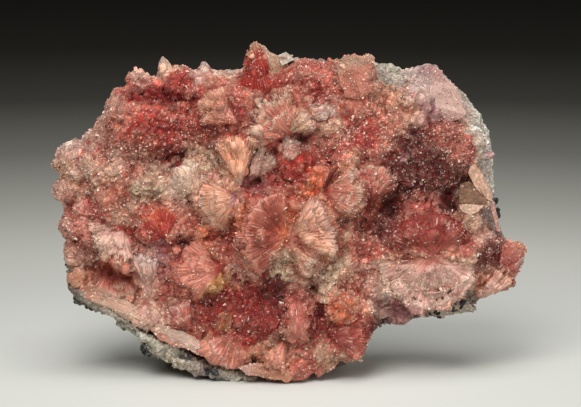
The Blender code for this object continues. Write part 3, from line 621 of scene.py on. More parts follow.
def band(values, middle, width):
    """1 at the middle, falling as e to minus the square of the distance over the width."""
    return np.exp(-(((values - middle) / width) ** 2))


def takes_pale(tint):
    """How readily each colour takes pale ends: from 0 to 1, little where it is deep."""
    return np.clip(0.2 + tint[:, 1:2] * 10, 0, 1)


def prisms(base, tip, side, width, thick, rings, sides=4):
    """Closed flat-sided crystals, all at once.

    Crystal i runs from base[i] to tip[i]. Each ring is a share of that length and a share of
    the width, and its corners lie on an oval with half axes width[i] along side[i] and
    thick[i] across it. Returns the points, one after another by crystal and ring, the faces,
    and each point's share of the length.
    """
    count, levels = len(base), len(rings)
    axis = tip - base
    side = unit(side - unit(axis) * (side * unit(axis)).sum(-1, keepdims=True))
    across = np.cross(unit(axis), side)
    turn = np.arange(sides) * (2 * math.pi / sides)
    shares = np.array([ring[0] for ring in rings])
    widths = np.array([ring[1] for ring in rings])
    middle = base[:, None] + axis[:, None] * shares[:, None]
    oval = (
        np.cos(turn)[:, None] * (side * width[:, None])[:, None]
        + np.sin(turn)[:, None] * (across * thick[:, None])[:, None]
    )
    points = middle[:, :, None] + widths[None, :, None, None] * oval[:, None]
    index = np.arange(count * levels * sides).reshape(count, levels, sides)
    near, far = index[:, :-1], index[:, 1:]
    walls = np.stack([near, np.roll(near, -1, 2), np.roll(far, -1, 2), far], -1).reshape(-1, 4)
    caps = np.concatenate([index[:, 0, ::-1], index[:, -1]])
    along = np.broadcast_to(shares[None, :, None], (count, levels, sides)).ravel()
    return points.reshape(-1, 3), [walls, caps], along


def per_corner(values, along):
    """Repeats one row per crystal over all of that crystal's corners."""
    return np.repeat(values, len(along) // len(values), axis=0)


def ramp(along, *colours):
    """Colours blended along the crystals: each is one row for every corner."""
    spots = np.clip(along, 0, 1)[:, None] * (len(colours) - 1)
    mix = np.zeros_like(colours[0])
    for k, colour in enumerate(colours):
        mix = mix + colour * np.clip(1 - np.abs(spots - k), 0, 1)
    return mix


def scatter(points, normals, faces, rng, count, weight):
    """Random spots on a skin, more where weight is high: positions, normals and face numbers."""
    chance = np.linalg.norm(spans_of(points, faces), axis=1) * np.clip(weight, 0, None)
    most = min(count, int((chance > 0).sum()))
    chosen = rng.choice(len(faces), most, False, chance / chance.sum())
    share = rng.dirichlet([1, 1, 1, 1], len(chosen))[:, :, None]
    corners = faces[chosen]
    return (points[corners] * share).sum(1), unit((normals[corners] * share).sum(1)), chosen


def add_node(tree, kind, **settings):
    """Adds a shader node, sets its fields and its sockets, and returns it.

    A setting whose name is a socket's, with spaces as underscores, sets that socket.
    """
    node = tree.nodes.new(kind)
    for name, value in settings.items():
        socket = node.inputs.get(name.replace("_", " "))
        if socket is None:
            setattr(node, name, value)
        else:
            socket.default_value = value
    return node


def wire(tree, rows):
    """Links nodes: each row is a node, its output, the next node and its input."""
    for source, out, target, into in rows:
        tree.links.new(source.outputs[out], target.inputs[into])


def mineral(name, roughness, spread, bump, grain, glow, coat, mottle, speck):
    """A mineral's material: the tint attribute broken into small crystal ends.

    The crystal ends are the cells of a pattern on the grain attribute: each is a little lighter
    or darker than the next, rounded by the bump, and lighter in the middle and darker in the
    creases as painted shade. roughness is the middle value and spread how far it varies, bump is
    in metres, grain is the pattern's cells per unit, glow is the share of light that sinks in,
    mottle is how far the colour varies and speck is how pale the palest cells are. The tint's
    alpha is the share of pale cells, which stand partly for pale crystal ends and partly for
    painted glints.
    """
    material = bpy.data.materials.new(name)
    material.use_nodes = True
    tree = material.node_tree
    shader = tree.nodes["Principled BSDF"]
    tint = add_node(tree, "ShaderNodeAttribute", attribute_name="tint")
    where = add_node(tree, "ShaderNodeAttribute", attribute_name="grain")
    noise = add_node(tree, "ShaderNodeTexNoise", Scale=grain * 0.5, Detail=3.0, Roughness=0.6)
    cells = add_node(tree, "ShaderNodeTexVoronoi", Scale=grain)
    vary = add_node(tree, "ShaderNodeMapRange", From_Min=0.3, From_Max=0.7,
                    To_Min=1 - mottle, To_Max=1 + mottle)
    # Painted shade: each cell darker towards its creases and lighter in its middle.
    crease = add_node(tree, "ShaderNodeMapRange", From_Min=0.15, From_Max=0.7, To_Min=1.15, To_Max=0.74)
    apart = add_node(tree, "ShaderNodeSeparateColor")
    each = add_node(tree, "ShaderNodeMapRange", To_Min=1 - mottle, To_Max=1 + mottle)
    both = add_node(tree, "ShaderNodeMath", operation="MULTIPLY")
    all_three = add_node(tree, "ShaderNodeMath", operation="MULTIPLY")
    tinted = add_node(tree, "ShaderNodeVectorMath", operation="SCALE")
    gloss = add_node(tree, "ShaderNodeMapRange", To_Min=roughness - spread, To_Max=roughness + spread)
    raised = add_node(tree, "ShaderNodeBump", Strength=0.9, Distance=bump, invert=True)
    chance = add_node(tree, "ShaderNodeMath", operation="SUBTRACT")
    chance.inputs[0].default_value = 1.0
    chosen = add_node(tree, "ShaderNodeMath", operation="GREATER_THAN")
    # Pale specks: partly pale crystal ends, partly painted glints.
    small = add_node(tree, "ShaderNodeMapRange", From_Min=0.2, From_Max=0.5, To_Min=speck, To_Max=0.0)
    mask = add_node(tree, "ShaderNodeMath", operation="MULTIPLY")
    specked = add_node(tree, "ShaderNodeMix", data_type="RGBA")
    colour_in, pale = [socket for socket in specked.inputs if socket.type == "RGBA"]
    pale.default_value = (0.8, 0.59, 0.47, 1)
    colour_out = next(socket for socket in specked.outputs if socket.type == "RGBA")
    wire(tree, [
        (where, "Vector", noise, "Vector"), (where, "Vector", cells, "Vector"),
        (noise, "Fac", vary, "Value"), (cells, "Distance", crease, "Value"),
        (cells, "Color", apart, "Color"), (apart, "Green", each, "Value"),
        (vary, "Result", both, 0), (crease, "Result", both, 1), (both, "Value", all_three, 0),
        (each, "Result", all_three, 1), (tint, "Color", tinted, 0),
        (all_three, "Value", tinted, "Scale"), (tint, "Alpha", chance, 1),
        (apart, "Red", chosen, 0), (chance, "Value", chosen, 1),
        (cells, "Distance", small, "Value"), (chosen, "Value", mask, 0), (small, "Result", mask, 1),
        (mask, "Value", specked, 0), (apart, "Blue", gloss, "Value"),
        (gloss, "Result", shader, "Roughness"), (cells, "Distance", raised, "Height"),
        (raised, "Normal", shader, "Normal"),
    ])
    tree.links.new(tinted.outputs["Vector"], colour_in)
    tree.links.new(colour_out, shader.inputs["Base Color"])
    for label, value in (
        ("Subsurface Weight", glow), ("Subsurface Radius", (1.0, 0.45, 0.35)),
        ("Subsurface Scale", 0.0012), ("Coat Weight", coat), ("Coat Roughness", 0.25), ("IOR", 1.5),
        ("Specular IOR Level", 0.3),
    ):
        shader.inputs[label].default_value = value
    return material


def minerals():
    """The materials, made once and shared by the pieces."""
    made = {
        "crystal": ("inesite_crystal", 0.5, 0.16, 0.00005, 2.6, 0.12, 0.0, 0.12, 0.0),
        "silk": ("inesite_silk", 0.5, 0.14, 0.00014, 1.5, 0.12, 0.0, 0.17, 0.6),
        "rock": ("vein_stone", 0.6, 0.2, 0.0002, 1.7, 0.0, 0.0, 0.2, 0.0),
        "ore": ("black_ore", 0.45, 0.2, 0.0002, 2.2, 0.0, 0.0, 0.3, 0.0),
    }
    return {key: bpy.data.materials.get(row[0]) or mineral(*row) for key, row in made.items()}


def outer_weight(points, faces):
    """1 on the crust's open surface and 0 where it meets the rock or the ground."""
    middle = points[faces].mean(1)
    behind = unit(spans_of(points, faces))[:, 1] > 0.7
    return ~(behind & (sheet_of(middle)[2] > 0.8)) * (middle[:, 2] > 0.0012) * 1.0


def bare(points):
    """1 where a single crystal or a plate stands in front, otherwise 0."""
    columns, rows, _ = sheet_of(points)
    covered = np.zeros(len(points))
    shapes = [(row[0], 0.8) for row in CRYSTALS.values()] + [(row[0], 1.1) for row in PLATES.values()]
    for corners, scale in shapes:
        corners = np.array(corners, float)
        middle = corners.mean(0)
        turns = []
        for a, b in zip(corners, np.roll(corners, -1, 0)):
            start, edge = middle + scale * (a - middle), b - a
            turns.append(edge[0] * (rows - start[1]) - edge[1] * (columns - start[0]))
        turns = np.array(turns)
        covered = np.maximum(covered, (turns > 0).all(0) | (turns < 0).all(0))
    return covered


class Shared:
    """What several pieces are laid on."""

    made = None

    @classmethod
    def prepare(cls):
        """The relief of the solids, the crust's skin, the single crystals and the ground.

        The ground is the skin and the single crystals together, which carry the grains.
        """
        if cls.made is None:
            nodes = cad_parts
            relief = Relief([nodes["inesite_crust"], nodes["matrix_rock"]])
            skin = grown_skin(relief)
            alone = crystals_alone(relief)
            points = np.concatenate([skin[0], alone[0]])
            faces = np.concatenate([skin[2], alone[1] + len(skin[0])])
            weight = outer_weight(points, faces)
            weight[: len(skin[2])] *= 1 - bare(points[skin[2]].mean(1))
            ground = (points, normals_of(points, faces), faces, np.concatenate([skin[3], alone[3]]),
                      np.concatenate([skin[5], alone[5]]), weight)
            cls.made = relief, skin, alone, ground
        return cls.made


def grown_skin(relief):
    """The crust's surface with its fans: points, normals, faces, colours and pattern places."""
    points, normals, faces = skin_of(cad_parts["inesite_crust"], CRUST_CELL, 2, 0.4)
    rng = np.random.default_rng(7)
    tint, share = crust_tint(points, relief, 5)
    open_side = np.clip((SHIFT[1] + 1.4 * MM - points[:, 1]) / (1.2 * MM), 0, 1)
    columns, rows, depths = sheet_of(points)
    kept, pushed = np.zeros(len(points)), np.zeros(len(points))
    for column, row, wide, high, push in HOLLOWS:
        near = np.clip(1.5 - np.hypot((columns - column) / wide, (rows - row) / high), 0, 1)
        kept, pushed = np.maximum(kept, near), np.maximum(pushed, push * near)
    # Painted shade: the pushed hollows are darkened, most in green and blue.
    tint *= 1 - np.clip(pushed / 3, 0, 1)[:, None] * np.array([0.25, 0.65, 0.65])
    inland = np.clip((relief.read(relief.crust, columns, rows) - 0.5) / 0.2, 0, 1)
    sunk = np.clip(depths - relief.read(relief.bridged, columns, rows), 0, 16) * open_side * inland
    sunk = sunk - (0.16 + 0.4 * kept) * np.minimum(sunk, 4)
    bend = 0.4 * MM * waves(points, 7 * MM, 34) - sunk * MM + pushed * MM
    above = np.clip(1 - points[:, 2] / MM / 3, -1, 0) * -1
    points = points + SIGHT * (bend * open_side * above)[:, None]
    normals = normals_of(points, faces)
    free = np.clip((2.9 - sheet_of(points)[2]) / 0.5, 0, 1) * np.clip((0.7 - normals[:, 1]) / 0.3, 0, 1)
    grown = Growth(points, tint)
    small_sprays(grown, normals, tint, share, free, rng)
    named_sprays(grown, rng)
    rise = grown.proud + np.where(grown.proud > 0, 0.04, 0.11) * MM * waves(points, 1.5 * MM, 33, 2)
    points = points + normals * (rise * free)[:, None]
    behind = np.clip(normals[:, 1] / 0.5, 0, 1) * (sheet_of(points)[2] > 0.5)
    points[:, 1] += behind * (0.6 + 0.3 * waves(points, 4 * MM, 35, 2)) * MM
    points[:, 2] = np.maximum(points[:, 2], LOWEST)
    normals = normals_of(points, faces)
    # Painted shade in the small hollows of the surface, darker and redder there, and painted highlight
    # on its crests, mixed towards cream.
    high = stands_out(points, normals, faces, 10)
    deep, crest = np.clip(-high / 0.32, 0, 1)[:, None], np.clip(high / 0.4 - 0.1, 0, 1)[:, None]
    tint = grown.tint * (1 - deep * np.array([0.3, 0.55, 0.56]))
    crest *= 0.15 * takes_pale(tint)
    tint = tint * (1 - crest) + crest * linear("cream")
    return points, normals, faces, tint, grown.pattern, share


def stands_out(points, normals, faces, rounds):
    """How far each point stands above a smoothed copy of its surface, in millimetres."""
    smooth, corners = points, faces.ravel()
    count = np.bincount(corners, minlength=len(points))
    for _ in range(rounds):
        middle = np.repeat(smooth[faces].mean(1), 4, axis=0)
        sums = [np.bincount(corners, middle[:, k], len(points)) / count for k in range(3)]
        smooth = np.stack(sums, 1)
    return ((points - smooth) * normals).sum(1) / MM


class Growth:
    """A surface on which sprays grow.

    Where two overlap, the one of higher rank shows, and of equal ones the one that stands
    higher.
    """

    def __init__(self, points, tint):
        self.points = points
        self.order = np.argsort(points[:, 0])
        self.across = points[self.order, 0]
        self.proud = np.zeros(len(points))
        self.rank = np.zeros(len(points), int)
        self.tint = tint.copy()
        self.pattern = points / MM * 1.15

    def grow(self, root, axis, out, radius, spread, reach, height, colours, rng, rank=0):
        """Grows one spray: a sector of fine fibres with an uneven rim.

        It opens from root along axis, spread radians either way, and stands up to height
        along out. reach is how far it may lie in front of or behind its own plane.
        """
        first, last = np.searchsorted(self.across, (root[0] - radius, root[0] + radius))
        index = self.order[first:last]
        offset = self.points[index] - root
        side = np.cross(out, axis)
        x, y, z = offset @ axis, offset @ side, offset @ out
        away, angle = np.hypot(x, y), np.arctan2(y, x)
        lobes_at = np.linspace(-spread, spread, 3 + int(4 * spread))
        lobes = np.interp(angle, lobes_at, rng.uniform(-0.18, 0.03, len(lobes_at)))
        teeth_at = np.linspace(-spread, spread, 4 + int(spread * radius / MM * 1.8))
        teeth = np.interp(angle, teeth_at, rng.uniform(-0.07, 0.04, len(teeth_at)))
        ridge = np.interp(angle, teeth_at, rng.uniform(-0.3, 0.3, len(teeth_at)))
        v = away / (radius * (1 + lobes + teeth))
        inner = np.clip((spread - np.abs(angle)) / (0.28 * spread), 0, 1)
        inside = (v < 1) & (inner > 0) & (np.abs(z) < reach)
        rise = height * (0.15 + 0.85 * v) * (0.3 + 0.7 * inner) * (1 + 1.4 * lobes)
        rise += ridge * v * min(height, 0.22 * MM)
        inside &= (rise > self.proud[index]) & (rank == self.rank[index]) | (rank > self.rank[index])
        index, v, inner = index[inside], v[inside], inner[inside][:, None]
        self.proud[index] = rise[inside]
        self.rank[index] = rank
        grown = ramp(v, *(np.tile(c, (len(v), 1)) for c in colours))
        self.tint[index] = grown * inner**0.5 + self.tint[index] * (1 - inner**0.5)
        self.pattern[index] = np.stack([
            angle[inside] * radius / MM * ACROSS, away[inside] / MM * ALONG,
            np.full(len(v), rng.uniform(0, 90))], 1)


def small_sprays(grown, normals, tint, share, free, rng):
    """Thousands of small sprays that open away from the middle of the region they are in."""
    centres = np.array([row[:2] for row in REGIONS], float)
    spots = rng.permutation(np.flatnonzero((free > 0.5) & (grown.points[:, 2] > 0.001)))[:SMALL_SPRAYS]
    columns, rows, _ = sheet_of(grown.points[spots])
    dx, dy = columns[:, None] - centres[:, 0], rows[:, None] - centres[:, 1]
    near = (dx**2 + dy**2).argmin(1)
    pick = np.arange(len(spots))
    right, up = np.array([1.0, 0, 0]), np.array([0, math.sin(TILT), math.cos(TILT)])
    lean = dx[pick, near][:, None] * right - dy[pick, near][:, None] * up
    lean = unit(lean + rng.normal(0, 3.0, lean.shape))
    out = unit(normals[spots] + rng.normal(0, 0.12, lean.shape))
    axis = unit(lean - out * (lean * out).sum(1, keepdims=True))
    calm = share[spots]
    radius = (0.75 + (1.5 - 1.2 * calm) * rng.beta(1.6, 3, len(spots)) * 2) * MM
    height = radius * rng.uniform(0.16, 0.34, len(spots))
    colour = tint[spots] * np.exp(rng.normal(0, 0.13, (len(spots), 1)))
    pale = colour * (1 - 0.32 * takes_pale(colour)) + 0.26 * takes_pale(colour) * linear("cream")
    for k in range(len(spots)):
        root = grown.points[spots[k]] - axis[k] * radius[k] * 0.5
        grown.grow(root, axis[k], out[k], radius[k], rng.uniform(0.5, 1.2), 0.5 * radius[k] + 0.4 * MM,
                   height[k], (0.75 * colour[k], colour[k], colour[k], pale[k]), rng)


def narrowed(fan, rng):
    """The fan with a random narrower part of its span, for the layers that lie over it."""
    width = (fan[4] - fan[3]) * rng.uniform(0.35, 0.7)
    first = rng.uniform(fan[3], fan[4] - width)
    return (*fan[:3], first, first + width, *fan[5:])


def named_sprays(grown, rng):
    """The large fans of the table, each with a few shorter ones over it."""
    for fan in FANS.values():
        layers = (fan, 1.0, 1.0), (narrowed(fan, rng), 0.82, 1.05), (narrowed(fan, rng), 0.6, 1.05)
        for shape, size, height in layers:
            column, row, radius, first, last, centre = shape[:6]
            turn = math.radians((first + last) / 2)
            rise = math.sin(turn)
            axis = np.array([math.cos(turn), rise * math.sin(TILT), rise * math.cos(TILT)])
            low, middle, far = (linear(name) * math.exp(rng.normal(0, 0.06)) for name in shape[7:10])
            spread, thick = math.radians(last - first) / 2, height * fan[10] * MM * (radius / 45) ** 0.5
            grown.grow(place(column, row, centre), axis, -SIGHT, radius * size * SHEET,
                       spread, 6.5 * MM, thick,
                       (low, low, 0.5 * (low + middle), middle, middle, middle, middle, far), rng, 1)


def build_skin():
    """The crust's own surface: domes of overlapping fans."""
    points, normals, faces, tint, pattern, share = Shared.prepare()[1]
    across = unit(spans_of(points, faces))
    flat = (share[faces].mean(1) > 0.45) | ((normals[faces] * across[:, None]).sum(-1).min(1) < 0.35)
    # The share of pale cells, partly pale crystal ends and partly painted glints, fewer where the tint
    # is deep.
    pale_glint_share = 0.6 * share * (0.4 + 0.6 * takes_pale(tint)[:, 0])
    return new_piece("crust_skin", points, [faces], tint, pale_glint_share, minerals()["silk"],
                     "inesite_crust", pattern, flat)


def wedges(root, axis, out, length, spread, thick, rng):
    """Closed thin wedges, all at once: slightly domed, with an uneven round rim.

    Wedge i starts at root[i] and opens along axis[i], spread[i] radians either way, and out[i]
    is the side it is domed towards. Returns the points, the faces, each point's share of the
    length and its place in the material's pattern.
    """
    count, along, across = len(root), 5, 7
    u, v = np.linspace(-1, 1, across), np.linspace(0.06, 1, along)[:, None]
    axis = unit(axis)
    side = unit(np.cross(out, axis))
    out = np.cross(axis, side)
    angle = spread[:, None] * u
    teeth = rng.uniform(-0.16, 0.06, (count, 1, across)) - 0.14 * u**2
    reach = length[:, None, None] * v * (1 + teeth * v**2)
    uneven = rng.uniform(-0.05, 0.05, (count, 1, across)) - 0.1 * u**2
    lift = length[:, None, None] * (0.3 * v * (1 - 0.9 * v) + uneven * v)
    heading = axis[:, None] * np.cos(angle)[..., None] + side[:, None] * np.sin(angle)[..., None]
    front = root[:, None, None] + reach[..., None] * heading[:, None]
    front = front + lift[..., None] * out[:, None, None]
    back = front - (out * thick)[:, None, None] * 2
    facing = np.arange(along * across).reshape(along, across)
    behind = facing.copy()
    behind[1:-1, 1:-1] = along * across + np.arange((along - 2) * (across - 2)).reshape(along - 2, -1)
    quads = []
    for grid in (facing, behind[:, ::-1]):
        cells = [grid[:-1, :-1], grid[:-1, 1:], grid[1:, 1:], grid[1:, :-1]]
        quads.append(np.stack(cells, -1).reshape(-1, 4))
    each = along * across + (along - 2) * (across - 2)
    faces = (np.concatenate(quads) + each * np.arange(count)[:, None, None]).reshape(-1, 4)
    pattern = np.stack(np.broadcast_arrays(
        (angle * length[:, None])[:, None] / MM * ACROSS, reach / MM * ALONG,
        rng.uniform(0, 90, count)[:, None, None]), -1)

    def whole(front_values, back_values):
        """The values of all corners of all wedges: the front ones, then those only at the back."""
        flat = front_values.reshape(count, along * across, -1)
        inner = back_values[:, 1:-1, 1:-1].reshape(count, (along - 2) * (across - 2), -1)
        return np.concatenate([flat, inner], 1).reshape(count * each, -1)

    share = reach / length[:, None, None]
    return whole(front, back), faces, whole(share, share).ravel(), whole(pattern, pattern)


def build_rosettes(seed, count, thick):
    """Small wedges that stand a little proud all over the crust."""
    rng = np.random.default_rng(seed)
    skin, normals, faces, tint, share, weight = Shared.prepare()[3]
    weight = weight * (1.15 - share[faces[:, 0]]) * (skin[faces[:, 0], 2] > 0.003)
    weight[len(Shared.prepare()[1][2]):] = 0
    spots, out, chosen = scatter(skin, normals, faces, rng, count, weight)
    lean = rng.normal(size=out.shape)
    lean = unit(lean - out * (lean * out).sum(1, keepdims=True))
    axis = unit(lean + out * rng.uniform(0.02, 0.28, (len(out), 1)))
    length = rng.uniform(0.7, 1.7, len(out)) * MM
    root = spots - out * 0.12 * MM - lean * (0.4 * length)[:, None]
    spread = rng.uniform(0.35, 0.8, len(out))
    points, walls, along, pattern = wedges(root, axis, out, length, spread, thick, rng)
    points[:, 2] = np.maximum(points[:, 2], LOWEST)
    base = per_corner(tint[faces[chosen, 0]] * np.exp(rng.normal(0.03, 0.15, (len(out), 1))), along)
    pale = base * (1 - 0.28 * takes_pale(base)) + 0.24 * takes_pale(base) * linear("cream")
    return new_piece("rosettes", points, outward(points, [walls]),
                     ramp(along, base * 0.8, base, base, pale), 0.1, minerals()["silk"],
                     "inesite_crust", pattern, False)


def build_rims(seed, thick):
    """Ends of the fibres along the rims of the large fans, laid on the crust's skin."""
    rng = np.random.default_rng(seed)
    points, _, faces, *_ = Shared.prepare()[1]
    tree = BVHTree.FromPolygons(points.tolist(), faces.tolist())
    sight = Vector(SIGHT)
    rows = []
    for fan in FANS.values():
        column, row, radius, first, last = fan[:5]
        count = int((last - first) / 1.7 * radius / 40 * min(1, fan[10]))
        angle = np.radians(rng.uniform(first, last, count))
        size = radius * rng.uniform(0.1, 0.3, count)
        reach = radius * rng.choice([1.0, 0.82, 0.6], count, p=[0.65, 0.25, 0.1])
        reach = reach * rng.uniform(0.93, 1.02, count)
        middle, far = linear(fan[8]), linear(fan[9])
        for k in range(count):
            ends = []
            for at in (reach[k] - size[k], 0.93 * reach[k]):
                start = place(column + math.cos(angle[k]) * at, row - math.sin(angle[k]) * at, -60)
                ends.append(tree.ray_cast(Vector(start), sight)[0])
            if None in ends or abs(ends[1].y - ends[0].y) > 2.2 * MM:
                continue
            root, tip = (np.array(end) for end in ends)
            run = (tip - root) * size[k] / (0.93 * reach[k] - reach[k] + size[k])
            rows.append((root - 0.05 * MM * -SIGHT, run, 0.3 * middle + 0.7 * far, far))
    root, run, middle, far = (np.array(column) for column in zip(*rows))
    length = np.linalg.norm(run, axis=1)
    out = np.tile(-SIGHT, (len(root), 1)) + rng.normal(0, 0.1, root.shape)
    spread = rng.uniform(0.1, 0.26, len(root)) * MM / length
    points, faces, along, pattern = wedges(root, run + 0.14 * MM * out, out, length, spread, thick, rng)
    vary = np.exp(rng.normal(0, 0.12, (len(root), 1)))
    tint = ramp(along, *(per_corner(part * vary, along) for part in (middle, middle, middle, far)))
    return new_piece("fan_rims", points, outward(points, [faces]), tint, 0.1, minerals()["silk"],
                     "inesite_crust", pattern, False)


def build_grains(name, seed, count, low, high):
    """Short crystal ends that crowd the crust, most where the pale grains are many."""
    rng = np.random.default_rng(seed)
    skin, normals, faces, tint, share, weight = Shared.prepare()[3]
    seam = band(sheet_of(skin[faces[:, 0]])[2], 2.1, 0.5)
    weight = weight * (0.1 + share[faces[:, 0]] + seam)
    spots, out, chosen = scatter(skin, normals, faces, rng, count, weight)
    tint, share, seam = tint[faces[chosen, 0]], share[faces[chosen, 0]], seam[chosen]
    size = rng.uniform(low, high, len(spots)) * (1 + 0.9 * seam) * MM
    heading = unit(out + rng.normal(0, 0.5, out.shape) + seam[:, None] * np.array([0, 0.8, 0]))
    foot = spots - heading * (0.4 * size)[:, None]
    tip = spots + heading * (size * rng.uniform(0.25, 0.6, len(spots)))[:, None]
    keep = tip[:, 2] > 0.0006
    foot, tip, heading, size, tint, share = (a[keep] for a in (foot, tip, heading, size, tint, share))
    side = np.cross(heading, rng.normal(size=heading.shape))
    points, walls, along = prisms(foot, tip, side, size * 0.5, size * 0.42, ((0, 1), (1, 0.45)), 3)
    # Some ends are made pale: partly pale crystal ends, partly painted glints.
    bright = rng.random(len(foot)) < 0.1 + 0.2 * share
    pale = (np.where(bright, rng.uniform(0.5, 1, len(foot)), rng.beta(0.4, 5, len(foot))))[:, None]
    pale = pale * (0.45 + 0.55 * takes_pale(tint))
    tint = tint * np.exp(rng.normal(0.0, 0.25, (len(foot), 1)))
    tint = tint * (1 - pale) + PALE_GLINT_END * pale
    return new_piece(name, points, outward(points, walls), per_corner(tint, along), 0.5,
                     minerals()["crystal"], "inesite_crust")


def build_dots(seed, count):
    """Tiny dark grains strewn over the grey-green patches."""
    rng = np.random.default_rng(seed)
    skin, normals, faces, _, _, weight = Shared.prepare()[3]
    columns, rows, _ = sheet_of(skin[faces].mean(1))
    near = np.zeros(len(faces))
    for column, row, wide, high, name, _ in REGIONS:
        if name in ("sage", "pearl"):
            near = np.maximum(near, 1.2 - np.hypot((columns - column) / wide, (rows - row) / high))
    spots, out, _ = scatter(skin, normals, faces, rng, count, weight * np.clip(near, 0, 1))
    size = rng.uniform(0.12, 0.26, len(spots)) * MM
    foot, tip = spots - out * size[:, None], spots + out * (0.5 * size)[:, None]
    side = np.cross(out, rng.normal(size=out.shape))
    points, walls, along = prisms(foot, tip, side, size, size * 0.8, ((0, 1), (1, 0.6)), 4)
    tint = np.exp(rng.normal(-3.2, 0.4, (len(foot), 1))) * np.array([1.0, 0.9, 0.8])
    return new_piece("dark_dots", points, outward(points, walls), per_corner(tint, along), 0.0,
                     minerals()["ore"], "inesite_crust")


def crystals_alone(relief):
    """The large crystals that stand alone, as one surface of rings.

    A ring is the outline drawn in towards the ridge by a share. Towards the viewer each point
    stands out by the ridge's height there times what is left of that share, so the faces
    between ridge and outline are flat, and behind the outline the rings close 2.5 mm back.
    """
    rng = np.random.default_rng(61)
    levels = np.array([0.02, 0.2, 0.4, 0.6, 0.8, 0.93, 1.0, 0.9, 0.6, 0.3, 0.02])[:, None]
    front = np.arange(len(levels))[:, None] < 7
    around = 44
    parts = []
    for corners, (x0, y0, x1, y1), depth, proud, tip, foot, streak, share in CRYSTALS.values():
        corners = np.array(corners, float)
        after = np.roll(corners, -1, 0)
        if (corners[:, 0] * after[:, 1] - corners[:, 1] * after[:, 0]).sum() < 0:
            corners = corners[::-1]
        loop = np.vstack([corners, corners[:1]])
        run = np.concatenate([[0], np.cumsum(np.hypot(*np.diff(loop, axis=0).T))])
        at = np.linspace(0, run[-1], around, endpoint=False)
        rim = np.stack([np.interp(at, run, loop[:, k]) for k in (0, 1)], 1)
        start, way = np.array([x0, y0]), np.array([x1 - x0, y1 - y0])
        along = np.clip((rim - start) @ way / (way @ way), 0, 1)
        spine = start + along[:, None] * way
        spot = spine + levels[..., None] * (rim - spine)
        ridge = proud[0] + (proud[1] - proud[0]) * along
        if depth is None:
            depth = relief.read(relief.blurred(relief.bridged, 2), spot[..., 0], spot[..., 1])
            depth = np.minimum(depth, np.median(depth) + 1.5) - 0.9
        depths = depth + np.where(front, -(1 - levels) * ridge, 2.5 * np.sqrt(1 - levels**2))
        points = place(spot[..., 0], spot[..., 1], depths).reshape(-1, 3)
        offset = (spot - start).reshape(-1, 2)
        down = np.clip(offset @ way / (way @ way), 0, 1)
        turn = np.arctan2(offset @ np.array([-way[1], way[0]]), offset @ way + 6 * np.linalg.norm(way))
        stripe = np.interp(turn, np.linspace(-0.15, 0.15, 60), rng.uniform(-1, 1, 60))
        tint = ramp(down, *(np.tile(linear(name), (len(down), 1)) for name in (tip, foot, foot, foot)))
        mark = 0.7 * np.clip(stripe, 0, 1)[:, None]
        tint = (tint * (1 - mark) + linear(streak) * mark) * np.exp(0.1 * stripe)[:, None]
        size = np.linalg.norm(way) * SHEET / MM
        apart = np.full(len(down), rng.uniform(0, 90))
        pattern = np.stack([turn * 6 * size * ACROSS, down * size * ALONG, apart], 1)
        parts.append((points, tint, pattern, np.full(len(down), share)))
    points, tint, pattern, share = (np.concatenate(column) for column in zip(*parts))
    for size, far in ((5 * MM, 0.18 * MM), (1.6 * MM, 0.08 * MM)):
        points += far * np.stack([waves(points, size, seed) for seed in (61, 62, 63)], 1)
    index = np.arange(len(points)).reshape(len(parts), len(levels), around)
    near, far = index[:, :-1], index[:, 1:]
    walls = np.stack([near, np.roll(near, -1, 2), np.roll(far, -1, 2), far], -1).reshape(-1, 4)
    walls, caps = outward(points, [walls, np.concatenate([index[:, 0, ::-1], index[:, -1]])])
    return points, walls, caps, tint, pattern, share


def build_points():
    """The large crystals that stand alone: flat-sided, with a ridge and fine streaks."""
    points, walls, caps, tint, pattern, share = Shared.prepare()[2]
    return new_piece("single_crystals", points, [walls, caps], tint, 0.4 * share, minerals()["silk"],
                     "inesite_crust", pattern)


def build_plates():
    """The flat faces of broken crystals: one thin closed slab for each, laid on the crust."""
    relief = Shared.prepare()[0]
    parts, total = [[], [], [], []], 0
    for corners, proud, name in PLATES.values():
        corners = np.array(corners, float)
        depth = relief.read(np.minimum(relief.depths, relief.bridged), *corners.T)
        depth = np.minimum(depth, np.median(depth) + 1.5)
        offset = corners - corners.mean(0)
        slope = np.linalg.solve(offset.T @ offset + 40 * len(corners) * np.eye(2), offset.T @ depth)
        level = depth.mean() + offset @ slope
        depth = level + min((depth - level).min(), 0) - 0.3
        front = place(corners[:, 0], corners[:, 1], depth - np.array(proud))
        back = place(corners[:, 0], corners[:, 1], depth - np.array(proud) + 2.5)
        count = len(corners)
        near, far = total + np.arange(count), total + count + np.arange(count)
        walls = np.stack([near, far, np.roll(far, -1), np.roll(near, -1)], 1)
        parts[0].append(np.concatenate([front, back]))
        parts[1].append(walls)
        fan = [np.stack([near[:1].repeat(count - 2), near[1:-1], near[2:]], 1),
               np.stack([far[:1].repeat(count - 2), far[2:], far[1:-1]], 1)]
        parts[2].append(np.concatenate(fan))
        parts[3].append(np.tile(linear(name), (2 * count, 1)))
        total += 2 * count
    points, walls, ends, tint = (np.concatenate(column) for column in parts)
    return new_piece("broken_faces", points, outward(points, [walls, ends]), tint, 0.05,
                     minerals()["silk"], "inesite_crust")


